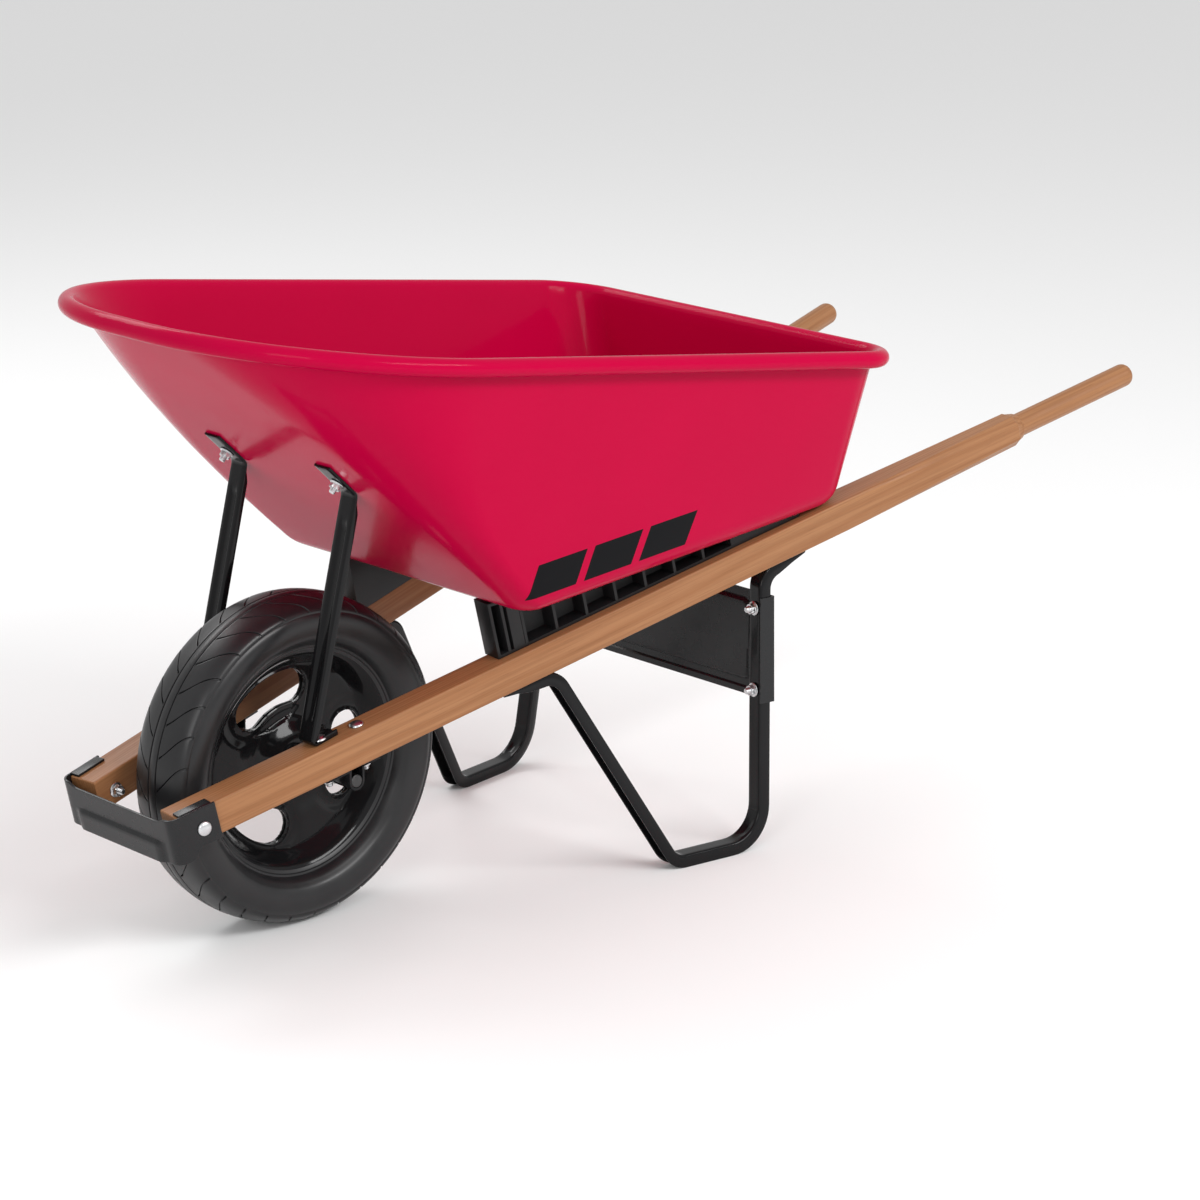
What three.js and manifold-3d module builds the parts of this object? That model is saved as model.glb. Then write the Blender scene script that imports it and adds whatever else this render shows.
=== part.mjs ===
// Wheelbarrow: a pressed steel tray on two hardwood handles, with one wheel, two bent legs and a nose guard.
//
// Millimetres, +Z up. +X points from the wheel to the grips, and +Y to the right hand of the person who
// pushes it. The pieces are placed with the axle at x = 0 and the ground at z = 0; the last lines move the
// whole to the middle of its length. A handle has a frame of its own, used by all that is bolted to it:
// "along" runs from its front end to its grip, "out" from its inner side to its outer side, and "up" is
// square to its top face, with zero at the front end of the inner top edge.
import * as THREE from "three";
import { mergeVertices } from "three/addons/utils/BufferGeometryUtils.js";
import Module from "manifold-3d";

const wasm = await Module();
wasm.setup();

const DEGREE = Math.PI / 180;
const GAP = 0.3; // between two pieces that touch

// Wheel
const WHEEL_SIDES = 48;
const TYRE_RADIUS = 203.2;
const TYRE_HALF_WIDTH = 50;
const TYRE_SQUARENESS = 2.7; // 2 is an ellipse, more is a squarer section
const RIM_SHEET = 2.5;
const RIM_LIP_RADIUS = 141;
const RIM_LIP_HALF_WIDTH = 30;
const RIM_DISC_RADIUS = 113;
const RIM_DOME_RADIUS = 46;
const RIM_DOME_HEIGHT = 20;
const RIM_OPENINGS = 3;
const OPENING_MIDDLE_RADIUS = 88;
const OPENING_HALF_DEPTH = 22;
const OPENING_HALF_ANGLE = 21 * DEGREE; // to the middle of each rounded end
const OPENING_FIRST_ANGLE = -10 * DEGREE;
const HUB_RADIUS = 19;
const HUB_HALF_LENGTH = 52;
const HUB_WALL = 5;
const BEARING_LENGTH = 14;
const BEARING_RADIUS = 16;
const BEARING_FLANGE = 2.5;
const AXLE_RADIUS = 8;
const SPACER_WALL = 4;

// Handles
const HANDLE_SIZE = 41.3;
const HANDLE_LENGTH = 1524;
const HANDLE_PITCH = 12.67 * DEGREE;
const HANDLE_SPLAY = 7.32 * DEGREE;
const HANDLE_NOSE_X = -238.7;
const HANDLE_NOSE_HALF_GAP = 63; // between the inner sides at the front end
const AXLE_DROP = 16.8; // from the handle's underside to the axle's centre
const GRIP_RADIUS = 15.5;
const GRIP_LENGTH = 206;
const SHOULDER_LENGTH = 12;
const EDGE_CHAMFER = 1.5;
const SHOULDER_CHAMFER = 11;
const CHAMFER_RUN = 300; // over which the edge chamfer grows to the shoulder's

// Axle brackets, under the handles
const BRACKET_SHEET = 3;
const BRACKET_WIDTH = 35;
const BRACKET_HALF_LENGTH = 38;
const AXLE_BOLT_SPREAD = 26; // from the axle to each bolt

// Tray
const TRAY_SHEET = 1.8;
const TRAY_FLOOR_FRONT_X = 190;
const TRAY_FLOOR_REAR_X = 735;
const TRAY_FLOOR_HALF_WIDTH = 226;
const TRAY_FLOOR_LIFT = 174.7566; // its underside at its front edge, above the handles' front ends
const TRAY_FLOOR_PITCH = 4.4 * DEGREE;
const TRAY_FLOOR_FRONT_CORNER = 32;
const TRAY_FLOOR_REAR_CORNER = 45;
const TRAY_FLOOR_FILLET = 28;
const RIM_FRONT_X = -213;
const RIM_REAR_X = 755;
const RIM_HALF_WIDTH = 302;
const RIM_LIFT = 345.7; // bead centre above the axle, over the floor's front edge
const RIM_PITCH = 8.1 * DEGREE; // the rim falls towards the rear
const RIM_FRONT_CORNER = 275;
const FRONT_CORNER_POWER = 1.9; // above one, the front corners stay tight low down and open out near the rim
const WALL_ROWS = 7;
const RIM_REAR_CORNER = 72;
const BEAD_RADIUS = 11;
const BEAD_END_ANGLE = -105 * DEGREE;

// Risers, between the handles and the tray
const RISER_START = 467;
const RISER_TIP = 5; // its height where it ends
const RISER_INNER = -2;
const RISER_WIDTH = 29;
const RISER_WALL = 4;
const RISER_NARROW_POCKET = 12;
const RISER_WINDOW_POCKET = 22;
const RISER_POCKET = 42;
const RISER_LEAST_HEIGHT = 16; // below which it is left solid

// Legs
const LEG_WIDTH = 24;
const LEG_DEPTH = 16;
const LEG_SHEET = 2.5;
const LEG_LEAN = 0.107; // outward travel for each unit of depth under the handle
const LEG_FRONT_TAB = 460; // along the handle, its front end
const LEG_FRONT_BEND = 545; // along the handle, where the diagonal would meet it
const LEG_REAR_BEND = 865;
const LEG_REAR_TAB = 938;
const FOOT_FRONT = 702; // level distances from the handle's front end
const FOOT_REAR = 828;
const LEG_BEND_RADII = [36, 20, 44, 36]; // handle, toe, heel, handle
const TRAY_BOLT_FRONT = 500; // along the handle
const TRAY_BOLT_REAR = 919;

// Leg brace panel
const PANEL_SHEET = 2;
const PANEL_HEIGHT = 134;
const PANEL_DROP = 36.3815; // from the legs' rear upper bends to the panel's upper edge
const PANEL_RAISE = 4;
const PANEL_BORDER = 16;
const PANEL_BOLT_INSET = 15; // from the panel's upper and lower edges
const PANEL_BOLT_ROOM = 0.8146; // between the leg, the panel and the bolt's head, in all

// Nose guard
const GUARD_SHEET = 3;
const GUARD_AHEAD = 15; // in front of the handles
const GUARD_CORNER = 10;
const GUARD_EAR_END = 49;
const GUARD_BOTTOM = -55; // heights measured square to the handles' top faces
const GUARD_EAR_BOTTOM = -43;
const GUARD_DIP = -2;
const GUARD_TAB_WIDTH = 13;
const GUARD_TAB_START = 2;
const GUARD_TAB_END = 45;
const GUARD_BOLT_ALONG = 28.4;
const GUARD_BOLT_UP = -23.6;

// Tray braces, from the handles to the tray's front wall
const BRACE_SHEET = 3;
const BRACE_WIDTH = 28;
const BRACE_FLANGE = 8;
const BRACE_INBOARD = 6.5684; // of its middle, from the bolt through its foot
const BRACE_FOOT_BEHIND = 22.2552; // from that bolt to the foot's rear end
const BRACE_FOOT_AHEAD = 18.7448; // from that bolt to the foot's bend
const BRACE_CREASE_RISE = 161; // above the floor's front edge
const BRACE_TAB_LENGTH = 55;
const BRACE_BEND_RADIUS = 7;

// Bolts and nuts
const BOLT_RADIUS = 4;
const BOLT_HEAD_RADIUS = 9;
const BOLT_HEAD_HEIGHT = 4.5;
const BOLT_TAIL = 6; // past the nut
const NUT_ACROSS_FLATS = 12.7;
const NUT_HEIGHT = 7;
const ROUND_SIDES = 10; // of a bolt, its hole and its nut's bore
const HEAD_STAND_OFF = 1; // of a head on a wall that curves or leans a little

// ---- Shapes -----------------------------------------------------------------------------------------

const vec = (x, y, z) => new THREE.Vector3(x, y, z);
const vec2 = (x, y) => new THREE.Vector2(x, y);

/** The geometry as a manifold-3d solid, placed by the matrix and with its faces out. */
function solid(geometry, matrix = new THREE.Matrix4()) {
  const bare = new THREE.BufferGeometry();
  bare.setAttribute("position", geometry.getAttribute("position"));
  bare.setIndex(geometry.index);
  const merged = mergeVertices(bare.clone().applyMatrix4(matrix), 1e-4);
  const corners = Array.from(merged.index.array);
  if (signedVolume(merged) < 0) corners.reverse();
  return new wasm.Manifold(new wasm.Mesh({
    numProp: 3,
    vertProperties: merged.attributes.position.array,
    triVerts: Uint32Array.from(corners),
  }));
}

function signedVolume(geometry) {
  const at = (i) => new THREE.Vector3().fromBufferAttribute(geometry.attributes.position, i);
  const index = geometry.index.array;
  let volume = 0;
  for (let i = 0; i < index.length; i += 3) {
    volume += at(index[i]).dot(at(index[i + 1]).cross(at(index[i + 2])));
  }
  return volume / 6;
}

function geometryOf(manifold) {
  const mesh = manifold.getMesh();
  const geometry = new THREE.BufferGeometry();
  geometry.setAttribute("position", new THREE.BufferAttribute(mesh.vertProperties, 3));
  geometry.setIndex(new THREE.BufferAttribute(mesh.triVerts, 1));
  geometry.computeVertexNormals();
  return geometry;
}

/** A closed surface through equal rings of points; outline triangulates the flat cap at each end. */
function skin(rings, outline) {
  const count = outline.length;
  const positions = rings.flat().flatMap((point) => point.toArray());
  const index = [];
  for (let r = 0; r + 1 < rings.length; r += 1) {
    for (let i = 0; i < count; i += 1) {
      const a = r * count + i;
      const b = r * count + ((i + 1) % count);
      index.push(a, b, b + count, a, b + count, a + count);
    }
  }
  const last = (rings.length - 1) * count;
  for (const [a, b, c] of THREE.ShapeUtils.triangulateShape(outline, [])) {
    const turn = THREE.ShapeUtils.isClockWise(outline) ? [a, b, c] : [a, c, b];
    index.push(...turn, last + turn[0], last + turn[2], last + turn[1]);
  }
  const geometry = new THREE.BufferGeometry();
  geometry.setAttribute("position", new THREE.Float32BufferAttribute(positions, 3));
  geometry.setIndex(index);
  return geometry;
}

/** The stations of a path through flat vertices, each corner rounded by its radius (none at the ends). */
function roundedPath(vertices, radii, steps) {
  const stations = [];
  const add = (point, heading) => stations.push({ point, heading });
  vertices.forEach((vertex, i) => {
    const before = i > 0 ? vertex.clone().sub(vertices[i - 1]).normalize() : null;
    const after = i + 1 < vertices.length ? vertices[i + 1].clone().sub(vertex).normalize() : null;
    if (!before || !after) {
      add(vertex.clone(), before || after);
      return;
    }
    const turn = Math.atan2(before.cross(after), before.dot(after));
    const radius = radii[i - 1];
    const tangent = radius * Math.tan(Math.abs(turn) / 2);
    const start = vertex.clone().addScaledVector(before, -tangent);
    const side = Math.sign(turn) || 1;
    const centre = start.clone().add(vec2(-before.y, before.x).multiplyScalar(side * radius));
    for (let k = 0; k <= (radius ? steps : 0); k += 1) {
      const angle = (turn * k) / steps;
      add(start.clone().rotateAround(centre, angle), before.clone().rotateAround(vec2(0, 0), angle));
    }
  });
  return stations;
}

/** The channel section of a strap: width across, sheet thick, with a lip of some depth on each side. */
function channelSection(width, sheet, depth) {
  const half = width / 2;
  return [
    vec2(-half, 0), vec2(half, 0), vec2(half, depth), vec2(half - sheet, depth),
    vec2(half - sheet, sheet), vec2(sheet - half, sheet), vec2(sheet - half, depth), vec2(-half, depth),
  ];
}

/** A polyline as a closed outline of a sheet, shifted to each side by half its thickness. */
function sheetOutline(points, sheet) {
  return [...offsetLine(points, sheet / 2), ...offsetLine(points, -sheet / 2).reverse()];
}

function offsetLine(points, distance) {
  return points.map((point, i) => {
    const before = point.clone().sub(points[Math.max(i - 1, 0)]).normalize();
    const after = points[Math.min(i + 1, points.length - 1)].clone().sub(point).normalize();
    const heading = before.clone().add(after).normalize();
    const stretch = Math.max(heading.dot(before), heading.dot(after));
    return point.clone().add(vec2(heading.y, -heading.x).multiplyScalar(distance / stretch));
  });
}

/** A solid of revolution about the Y axis. */
const turned = (points, segments) => new THREE.LatheGeometry(points, segments);
const closed = (points) => [...points, points[0].clone()];

/** A box between two corners. */
function block(low, high) {
  const size = high.clone().sub(low);
  const middle = low.clone().add(high).divideScalar(2);
  return new THREE.BoxGeometry(size.x, size.y, size.z).translate(middle.x, middle.y, middle.z);
}

/** A six-sided solid from its front four corners and its back four corners, in the same order. */
const hexahedron = (front, back) => skin([front, back], [vec2(0, 0), vec2(1, 0), vec2(1, 1), vec2(0, 1)]);

// ---- Frames -----------------------------------------------------------------------------------------

const ALONG = vec(
  Math.cos(HANDLE_PITCH) * Math.cos(HANDLE_SPLAY),
  Math.cos(HANDLE_PITCH) * Math.sin(HANDLE_SPLAY),
  Math.sin(HANDLE_PITCH),
);
const OUT = vec(-Math.sin(HANDLE_SPLAY), Math.cos(HANDLE_SPLAY), 0);
const UP = ALONG.clone().cross(OUT);
const MIDDLE = HANDLE_SIZE / 2; // "out" of a handle's centre line
const AXLE = vec(0, 0, TYRE_RADIUS);

// The handle stands so high that its underside, above the axle, clears the axle by the drop.
const NOSE = (() => {
  const level = vec(HANDLE_NOSE_X, HANDLE_NOSE_HALF_GAP, 0);
  const reach = (-HANDLE_NOSE_X - MIDDLE * Math.sin(HANDLE_SPLAY)) / ALONG.x;
  const above = level.clone().addScaledVector(ALONG, reach).addScaledVector(OUT, MIDDLE);
  const down = HANDLE_SIZE + AXLE_DROP;
  return level.setZ(TYRE_RADIUS - above.z + down / UP.z);
})();
const RAIL = new THREE.Matrix4().makeBasis(ALONG, OUT, UP).setPosition(NOSE);

const railPoint = (along, out, up) => vec(along, out, up).applyMatrix4(RAIL);
const AXLE_ALONG = railPoint(0, MIDDLE, 0).negate().add(AXLE).setY(0).dot(ALONG.clone().setY(0))
  / (1 - ALONG.y * ALONG.y);

// What stands on the handles or hangs from them rises and falls with them.
const TRAY_FLOOR_FRONT_Z = NOSE.z + TRAY_FLOOR_LIFT;
const BRACE_CREASE_Z = TRAY_FLOOR_FRONT_Z + BRACE_CREASE_RISE;
const BRACE_BOLT = railPoint(AXLE_ALONG - AXLE_BOLT_SPREAD, MIDDLE, 0);
const BRACE_Y = BRACE_BOLT.y - BRACE_INBOARD;
const BRACE_FOOT_REAR_X = BRACE_BOLT.x + BRACE_FOOT_BEHIND;
const BRACE_FOOT_FRONT_X = BRACE_BOLT.x - BRACE_FOOT_AHEAD;
const LEG_TOP = railLevel(vec2(LEG_REAR_BEND, -HANDLE_SIZE - GAP));
const PANEL_TOP_Z = LEG_TOP.y - PANEL_DROP;
const PANEL_BOTTOM_Z = PANEL_TOP_Z - PANEL_HEIGHT;

/** "Up" where a line square to the handle's top meets the underside of the tray's floor. */
function floorAbove(along, out) {
  const foot = railPoint(along, out, 0);
  const slope = Math.tan(TRAY_FLOOR_PITCH);
  return (floorZ(foot.x) - foot.z) / (UP.z - slope * UP.x);
}

function floorZ(x) {
  return TRAY_FLOOR_FRONT_Z + (x - TRAY_FLOOR_FRONT_X) * Math.tan(TRAY_FLOOR_PITCH);
}

const rimZ = (x) => TRAY_FLOOR_FRONT_Z + RIM_LIFT - x * Math.tan(RIM_PITCH);

/** A level distance from the handle's front end and a height above the ground, as "along" and "up". */
function levelToRail(distance, height) {
  const rise = height - NOSE.z;
  const cosine = Math.cos(HANDLE_PITCH);
  const sine = Math.sin(HANDLE_PITCH);
  return vec2(distance * cosine + rise * sine, rise * cosine - distance * sine);
}

/** An "along" and "up" as a level distance from the handle's front end and a height above the ground. */
function railLevel({ x, y }) {
  const cosine = Math.cos(HANDLE_PITCH);
  const sine = Math.sin(HANDLE_PITCH);
  return vec2(x * cosine - y * sine, NOSE.z + x * sine + y * cosine);
}

/** A point of a leg: across its width, at an "along" and "up" of its path. */
function legPoint(flat, across) {
  const depth = -HANDLE_SIZE - flat.y;
  return railPoint(flat.x, MIDDLE + across + LEG_LEAN * depth, flat.y);
}

// The front wall of the tray, seen from the side: the foot of its inner face, and the way that face climbs.
const WALL_FOOT = vec2(TRAY_FLOOR_FRONT_X, TRAY_FLOOR_FRONT_Z + TRAY_SHEET / Math.cos(TRAY_FLOOR_PITCH));
const WALL_CLIMB = (() => {
  const bead = vec2(RIM_FRONT_X, rimZ(RIM_FRONT_X));
  const climb = bead.clone().sub(WALL_FOOT).normalize();
  return bead.addScaledVector(vec2(climb.y, -climb.x), BEAD_RADIUS).sub(WALL_FOOT).normalize();
})();
const WALL_OUTWARD = vec2(-WALL_CLIMB.y, WALL_CLIMB.x);

/** A point on a line parallel to the front wall's inner face, some distance outside it, at a height. */
function besideWall(height, distance) {
  const start = WALL_FOOT.clone().addScaledVector(WALL_OUTWARD, distance);
  return start.addScaledVector(WALL_CLIMB, (height - start.y) / WALL_CLIMB.y);
}

// ---- Bolts ------------------------------------------------------------------------------------------

/** Each bolt of the right side: where its head sits, the way its head points, and what it clamps. */
function boltPlan() {
  const plan = {};
  const add = (name, seat, head, grip) => {
    plan[name] = { seat, head: head.clone().normalize(), grip };
  };
  const underBracket = HANDLE_SIZE + BRACKET_SHEET + 2 * GAP;
  const guardOut = HANDLE_SIZE + GUARD_SHEET + 2 * GAP;
  add("guard_bolt", railPoint(GUARD_BOLT_ALONG, guardOut, GUARD_BOLT_UP), OUT, guardOut + GAP);

  const braceTop = BRACE_SHEET + 1.6; // the foot is level across, so one edge stands clear of the wood
  const frontHole = railPoint(AXLE_ALONG - AXLE_BOLT_SPREAD, MIDDLE, braceTop);
  add("axle_bolt_front", frontHole, UP, underBracket + braceTop);
  add("axle_bolt_rear", railPoint(AXLE_ALONG + AXLE_BOLT_SPREAD, MIDDLE, GAP), UP, underBracket + GAP);

  // The tray's floor leans against these bolts, so their heads stand off it by the lean.
  const lean = BOLT_HEAD_RADIUS * Math.tan(HANDLE_PITCH - TRAY_FLOOR_PITCH);
  const underLeg = HANDLE_SIZE + LEG_SHEET + 2 * GAP;
  for (const [name, along] of [["tray_bolt_front", TRAY_BOLT_FRONT], ["tray_bolt_rear", TRAY_BOLT_REAR]]) {
    const up = floorAbove(along, MIDDLE) + TRAY_SHEET + lean + HEAD_STAND_OFF;
    add(name, railPoint(along, MIDDLE, up), UP, up + underLeg);
  }

  const braceBolt = besideWall(BRACE_CREASE_Z, 0).addScaledVector(WALL_CLIMB, BRACE_TAB_LENGTH / 2);
  const inward = vec(-WALL_OUTWARD.x, 0, -WALL_OUTWARD.y);
  add(
    "tray_brace_bolt",
    vec(braceBolt.x, BRACE_Y, braceBolt.y).addScaledVector(inward, HEAD_STAND_OFF),
    inward,
    HEAD_STAND_OFF + TRAY_SHEET + BRACE_SHEET + 3 * GAP,
  );

  const rearward = vec(Math.cos(HANDLE_SPLAY), Math.sin(HANDLE_SPLAY), 0);
  const skew = (BOLT_HEAD_RADIUS + LEG_WIDTH / 2) * Math.tan(HANDLE_SPLAY);
  const heights = { lower: PANEL_BOTTOM_Z + PANEL_BOLT_INSET, upper: PANEL_TOP_Z - PANEL_BOLT_INSET };
  for (const [name, height] of Object.entries(heights)) {
    const clamp = LEG_DEPTH + PANEL_SHEET + PANEL_BOLT_ROOM + skew;
    const seat = legPoint(levelToRail(uprightDistance(height), height), 0).addScaledVector(rearward, clamp);
    add(`panel_bolt_${name}`, seat, rearward, clamp + 1.2);
  }
  return plan;
}

/** The level distance of the leg's upright, on its front face, at a height. */
function uprightDistance(height) {
  const share = (height - LEG_DEPTH) / (LEG_TOP.y - LEG_DEPTH);
  return FOOT_REAR + share * (LEG_TOP.x - FOOT_REAR);
}

const turnTo = (direction) => new THREE.Matrix4().makeRotationFromQuaternion(
  new THREE.Quaternion().setFromUnitVectors(vec(0, 1, 0), direction),
);

function boltLength(bolt) {
  return bolt.grip + NUT_HEIGHT + BOLT_TAIL;
}

function boltBody(bolt) {
  const profile = [
    vec2(0, -boltLength(bolt)),
    vec2(BOLT_RADIUS, -boltLength(bolt)),
    vec2(BOLT_RADIUS, 0),
    vec2(BOLT_HEAD_RADIUS, 0),
    vec2(BOLT_HEAD_RADIUS * 0.7, BOLT_HEAD_HEIGHT * 0.75),
    vec2(0, BOLT_HEAD_HEIGHT),
  ];
  return geometryOf(solid(turned(profile, ROUND_SIDES), turnTo(bolt.head).setPosition(bolt.seat)));
}

function nutBody(bolt) {
  const acrossCorners = NUT_ACROSS_FLATS / Math.cos(Math.PI / 6);
  const hexagon = new THREE.CylinderGeometry(acrossCorners / 2, acrossCorners / 2, NUT_HEIGHT, 6);
  hexagon.translate(0, -NUT_HEIGHT / 2, 0);
  const place = turnTo(bolt.head).setPosition(bolt.seat.clone().addScaledVector(bolt.head, -bolt.grip - GAP));
  return geometryOf(solid(hexagon, place).subtract(solid(boltHole(4 * NUT_HEIGHT), place)));
}

function boltHole(length) {
  return new THREE.CylinderGeometry(BOLT_RADIUS + GAP, BOLT_RADIUS + GAP, length, ROUND_SIDES);
}

/** The solid with a clearance hole for each bolt. */
function drilled(body, ...bolts) {
  return bolts.reduce((left, bolt) => {
    const hole = boltHole(2 * boltLength(bolt));
    return left.subtract(solid(hole, turnTo(bolt.head).setPosition(bolt.seat)));
  }, body);
}

// ---- Wheel ------------------------------------------------------------------------------------------

/** The rim's wall from the flat disc to its lip, through the middle of the sheet, as radius and width. */
function rimWall() {
  const rise = RIM_LIP_RADIUS - RIM_DISC_RADIUS;
  return [
    vec2(RIM_DISC_RADIUS, RIM_SHEET / 2 + GAP / 2),
    vec2(RIM_DISC_RADIUS + 0.25 * rise, 0.2 * RIM_LIP_HALF_WIDTH),
    vec2(RIM_DISC_RADIUS + 0.6 * rise, 0.8 * RIM_LIP_HALF_WIDTH),
    vec2(RIM_LIP_RADIUS, RIM_LIP_HALF_WIDTH),
  ];
}

function tyre() {
  const seat = offsetLine(rimWall().slice(1), RIM_SHEET / 2 + GAP);
  const middle = (TYRE_RADIUS + RIM_LIP_RADIUS) / 2;
  const half = (TYRE_RADIUS - RIM_LIP_RADIUS) / 2;
  const power = 2 / TYRE_SQUARENESS;
  const side = [vec2(RIM_LIP_RADIUS + 2.5, RIM_LIP_HALF_WIDTH + 2)];
  for (let k = 0; k <= 7; k += 1) {
    const angle = (-50 + 20 * k) * DEGREE;
    const height = Math.sign(angle) * Math.abs(Math.sin(angle)) ** power;
    side.push(vec2(middle + half * height, TYRE_HALF_WIDTH * Math.cos(angle) ** power));
  }
  side[side.length - 1].y = 0;
  const outline = [...seat, ...side];
  const mirrored = outline.slice(0, -1).reverse().map((point) => vec2(point.x, -point.y));
  return geometryOf(solid(turned(closed([...outline, ...mirrored]), WHEEL_SIDES)));
}

/** One pressed half of the rim, on the +Y side of the wheel. */
function rimHalf() {
  const dome = [
    vec2(HUB_RADIUS + GAP, RIM_DOME_HEIGHT),
    vec2(HUB_RADIUS + 9, RIM_DOME_HEIGHT - 1.5),
    vec2(RIM_DOME_RADIUS, RIM_SHEET / 2 + GAP / 2),
  ];
  let body = solid(turned(closed(sheetOutline([...dome, ...rimWall()], RIM_SHEET)), WHEEL_SIDES));
  for (let k = 0; k < RIM_OPENINGS; k += 1) {
    const angle = OPENING_FIRST_ANGLE + (2 * Math.PI * k) / RIM_OPENINGS;
    const through = { depth: 60, bevelEnabled: false, curveSegments: 5 };
    const cutter = new THREE.ExtrudeGeometry(openingShape(), through);
    cutter.translate(0, 0, -30).rotateX(Math.PI / 2).rotateY(-angle);
    body = body.subtract(solid(cutter));
  }
  return geometryOf(body);
}

/** A kidney-shaped opening about the X axis, with round ends. */
function openingShape() {
  const shape = new THREE.Shape();
  const end = (sign) => vec2(Math.cos(OPENING_HALF_ANGLE), sign * Math.sin(OPENING_HALF_ANGLE))
    .multiplyScalar(OPENING_MIDDLE_RADIUS);
  const outer = OPENING_MIDDLE_RADIUS + OPENING_HALF_DEPTH;
  const inner = OPENING_MIDDLE_RADIUS - OPENING_HALF_DEPTH;
  const tilt = OPENING_HALF_ANGLE;
  shape.absarc(0, 0, outer, -tilt, tilt, false);
  shape.absarc(end(1).x, end(1).y, OPENING_HALF_DEPTH, tilt, tilt + Math.PI, false);
  shape.absarc(0, 0, inner, tilt, -tilt, true);
  shape.absarc(end(-1).x, end(-1).y, OPENING_HALF_DEPTH, -tilt + Math.PI, -tilt + 2 * Math.PI, false);
  return shape;
}

/** The hub tube, with a seat for a bearing in each end. */
function hub() {
  const seat = HUB_HALF_LENGTH - BEARING_LENGTH;
  const bore = HUB_RADIUS - HUB_WALL - 2;
  const seatRadius = BEARING_RADIUS + GAP;
  return turned(closed([
    vec2(bore, -seat), vec2(seatRadius, -seat), vec2(seatRadius, -HUB_HALF_LENGTH),
    vec2(HUB_RADIUS, -HUB_HALF_LENGTH), vec2(HUB_RADIUS, HUB_HALF_LENGTH),
    vec2(seatRadius, HUB_HALF_LENGTH), vec2(seatRadius, seat), vec2(bore, seat),
  ]), 32);
}

/** A flanged bearing in the +Y end of the hub. */
function bearing() {
  const inner = AXLE_RADIUS + GAP;
  const start = HUB_HALF_LENGTH - BEARING_LENGTH + GAP;
  const flange = HUB_HALF_LENGTH + GAP;
  return turned(closed([
    vec2(inner, start), vec2(BEARING_RADIUS, start), vec2(BEARING_RADIUS, flange),
    vec2(HUB_RADIUS, flange), vec2(HUB_RADIUS, flange + BEARING_FLANGE), vec2(inner, flange + BEARING_FLANGE),
  ]), 24);
}

// The axle reaches the outer edge of both brackets, which hang under the middle of the handles.
const BRACKET_MIDDLE_Y = railPoint(AXLE_ALONG, MIDDLE, 0).y;
const BRACKET_INNER_Y = BRACKET_MIDDLE_Y - BRACKET_WIDTH / 2;
const BRACKET_OUTER_Y = BRACKET_MIDDLE_Y + BRACKET_WIDTH / 2;

function axle() {
  return new THREE.CylinderGeometry(AXLE_RADIUS, AXLE_RADIUS, 2 * BRACKET_OUTER_Y, 24);
}

/** The tube that keeps the +Y bearing clear of its bracket. */
function axleSpacer() {
  const inner = AXLE_RADIUS + GAP;
  const start = HUB_HALF_LENGTH + BEARING_FLANGE + 2 * GAP;
  const end = BRACKET_INNER_Y - 2;
  return turned(closed([
    vec2(inner, start), vec2(inner + SPACER_WALL, start), vec2(inner + SPACER_WALL, end), vec2(inner, end),
  ]), 24);
}

/** A saddle strap: two ears against the handle's underside, joined by a loop under the axle. */
function axleBracket(bolts) {
  const top = -HANDLE_SIZE - GAP;
  const low = vec(AXLE_ALONG - BRACKET_HALF_LENGTH, MIDDLE - BRACKET_WIDTH / 2, top - BRACKET_SHEET);
  const high = vec(AXLE_ALONG + BRACKET_HALF_LENGTH, MIDDLE + BRACKET_WIDTH / 2, top);
  const ears = solid(block(low, high), RAIL);
  const bore = AXLE_RADIUS + GAP;
  const outer = bore + BRACKET_SHEET;
  const reach = 40;
  const at = new THREE.Matrix4().makeTranslation(0, BRACKET_MIDDLE_Y, TYRE_RADIUS);
  const loop = solid(new THREE.CylinderGeometry(outer, outer, BRACKET_WIDTH, 24), at)
    .add(solid(block(vec(-outer, -BRACKET_WIDTH / 2, 0), vec(outer, BRACKET_WIDTH / 2, reach)), at));
  const aboveEars = solid(block(vec(0, -reach, top), vec(2 * AXLE_ALONG, 3 * reach, top + 2 * reach)), RAIL);
  const channel = solid(new THREE.CylinderGeometry(bore, bore, 4 * reach, 24), at)
    .add(solid(block(vec(-bore, -2 * reach, 0), vec(bore, 2 * reach, reach)), at));
  const body = ears.add(loop).subtract(aboveEars).subtract(channel);
  return geometryOf(drilled(body, bolts.axle_bolt_front, bolts.axle_bolt_rear));
}

// ---- Handles and nose guard -------------------------------------------------------------------------

/** A square section with cut edges; half across flats, in the plane "along". */
function squareRing(along, half, cut) {
  const corner = half - cut;
  const quarter = [[half, 0], [half, corner], [half - cut / 2, half - cut / 2], [corner, half]];
  return ring(along, (turn) => quarter.map(([y, z]) => vec2(y, z).rotateAround(vec2(0, 0), turn)));
}

function roundRing(along, radius) {
  const steps = [0, 1, 2, 3].map((k) => (k * Math.PI) / 8);
  const spot = (angle) => vec2(radius * Math.cos(angle), radius * Math.sin(angle));
  return ring(along, (turn) => steps.map((step) => spot(step + turn)));
}

function ring(along, quarterAt) {
  const points = [0, 1, 2, 3].flatMap((k) => quarterAt((k * Math.PI) / 2));
  return points.map((point) => vec(along, MIDDLE + point.x, point.y - MIDDLE));
}

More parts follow.
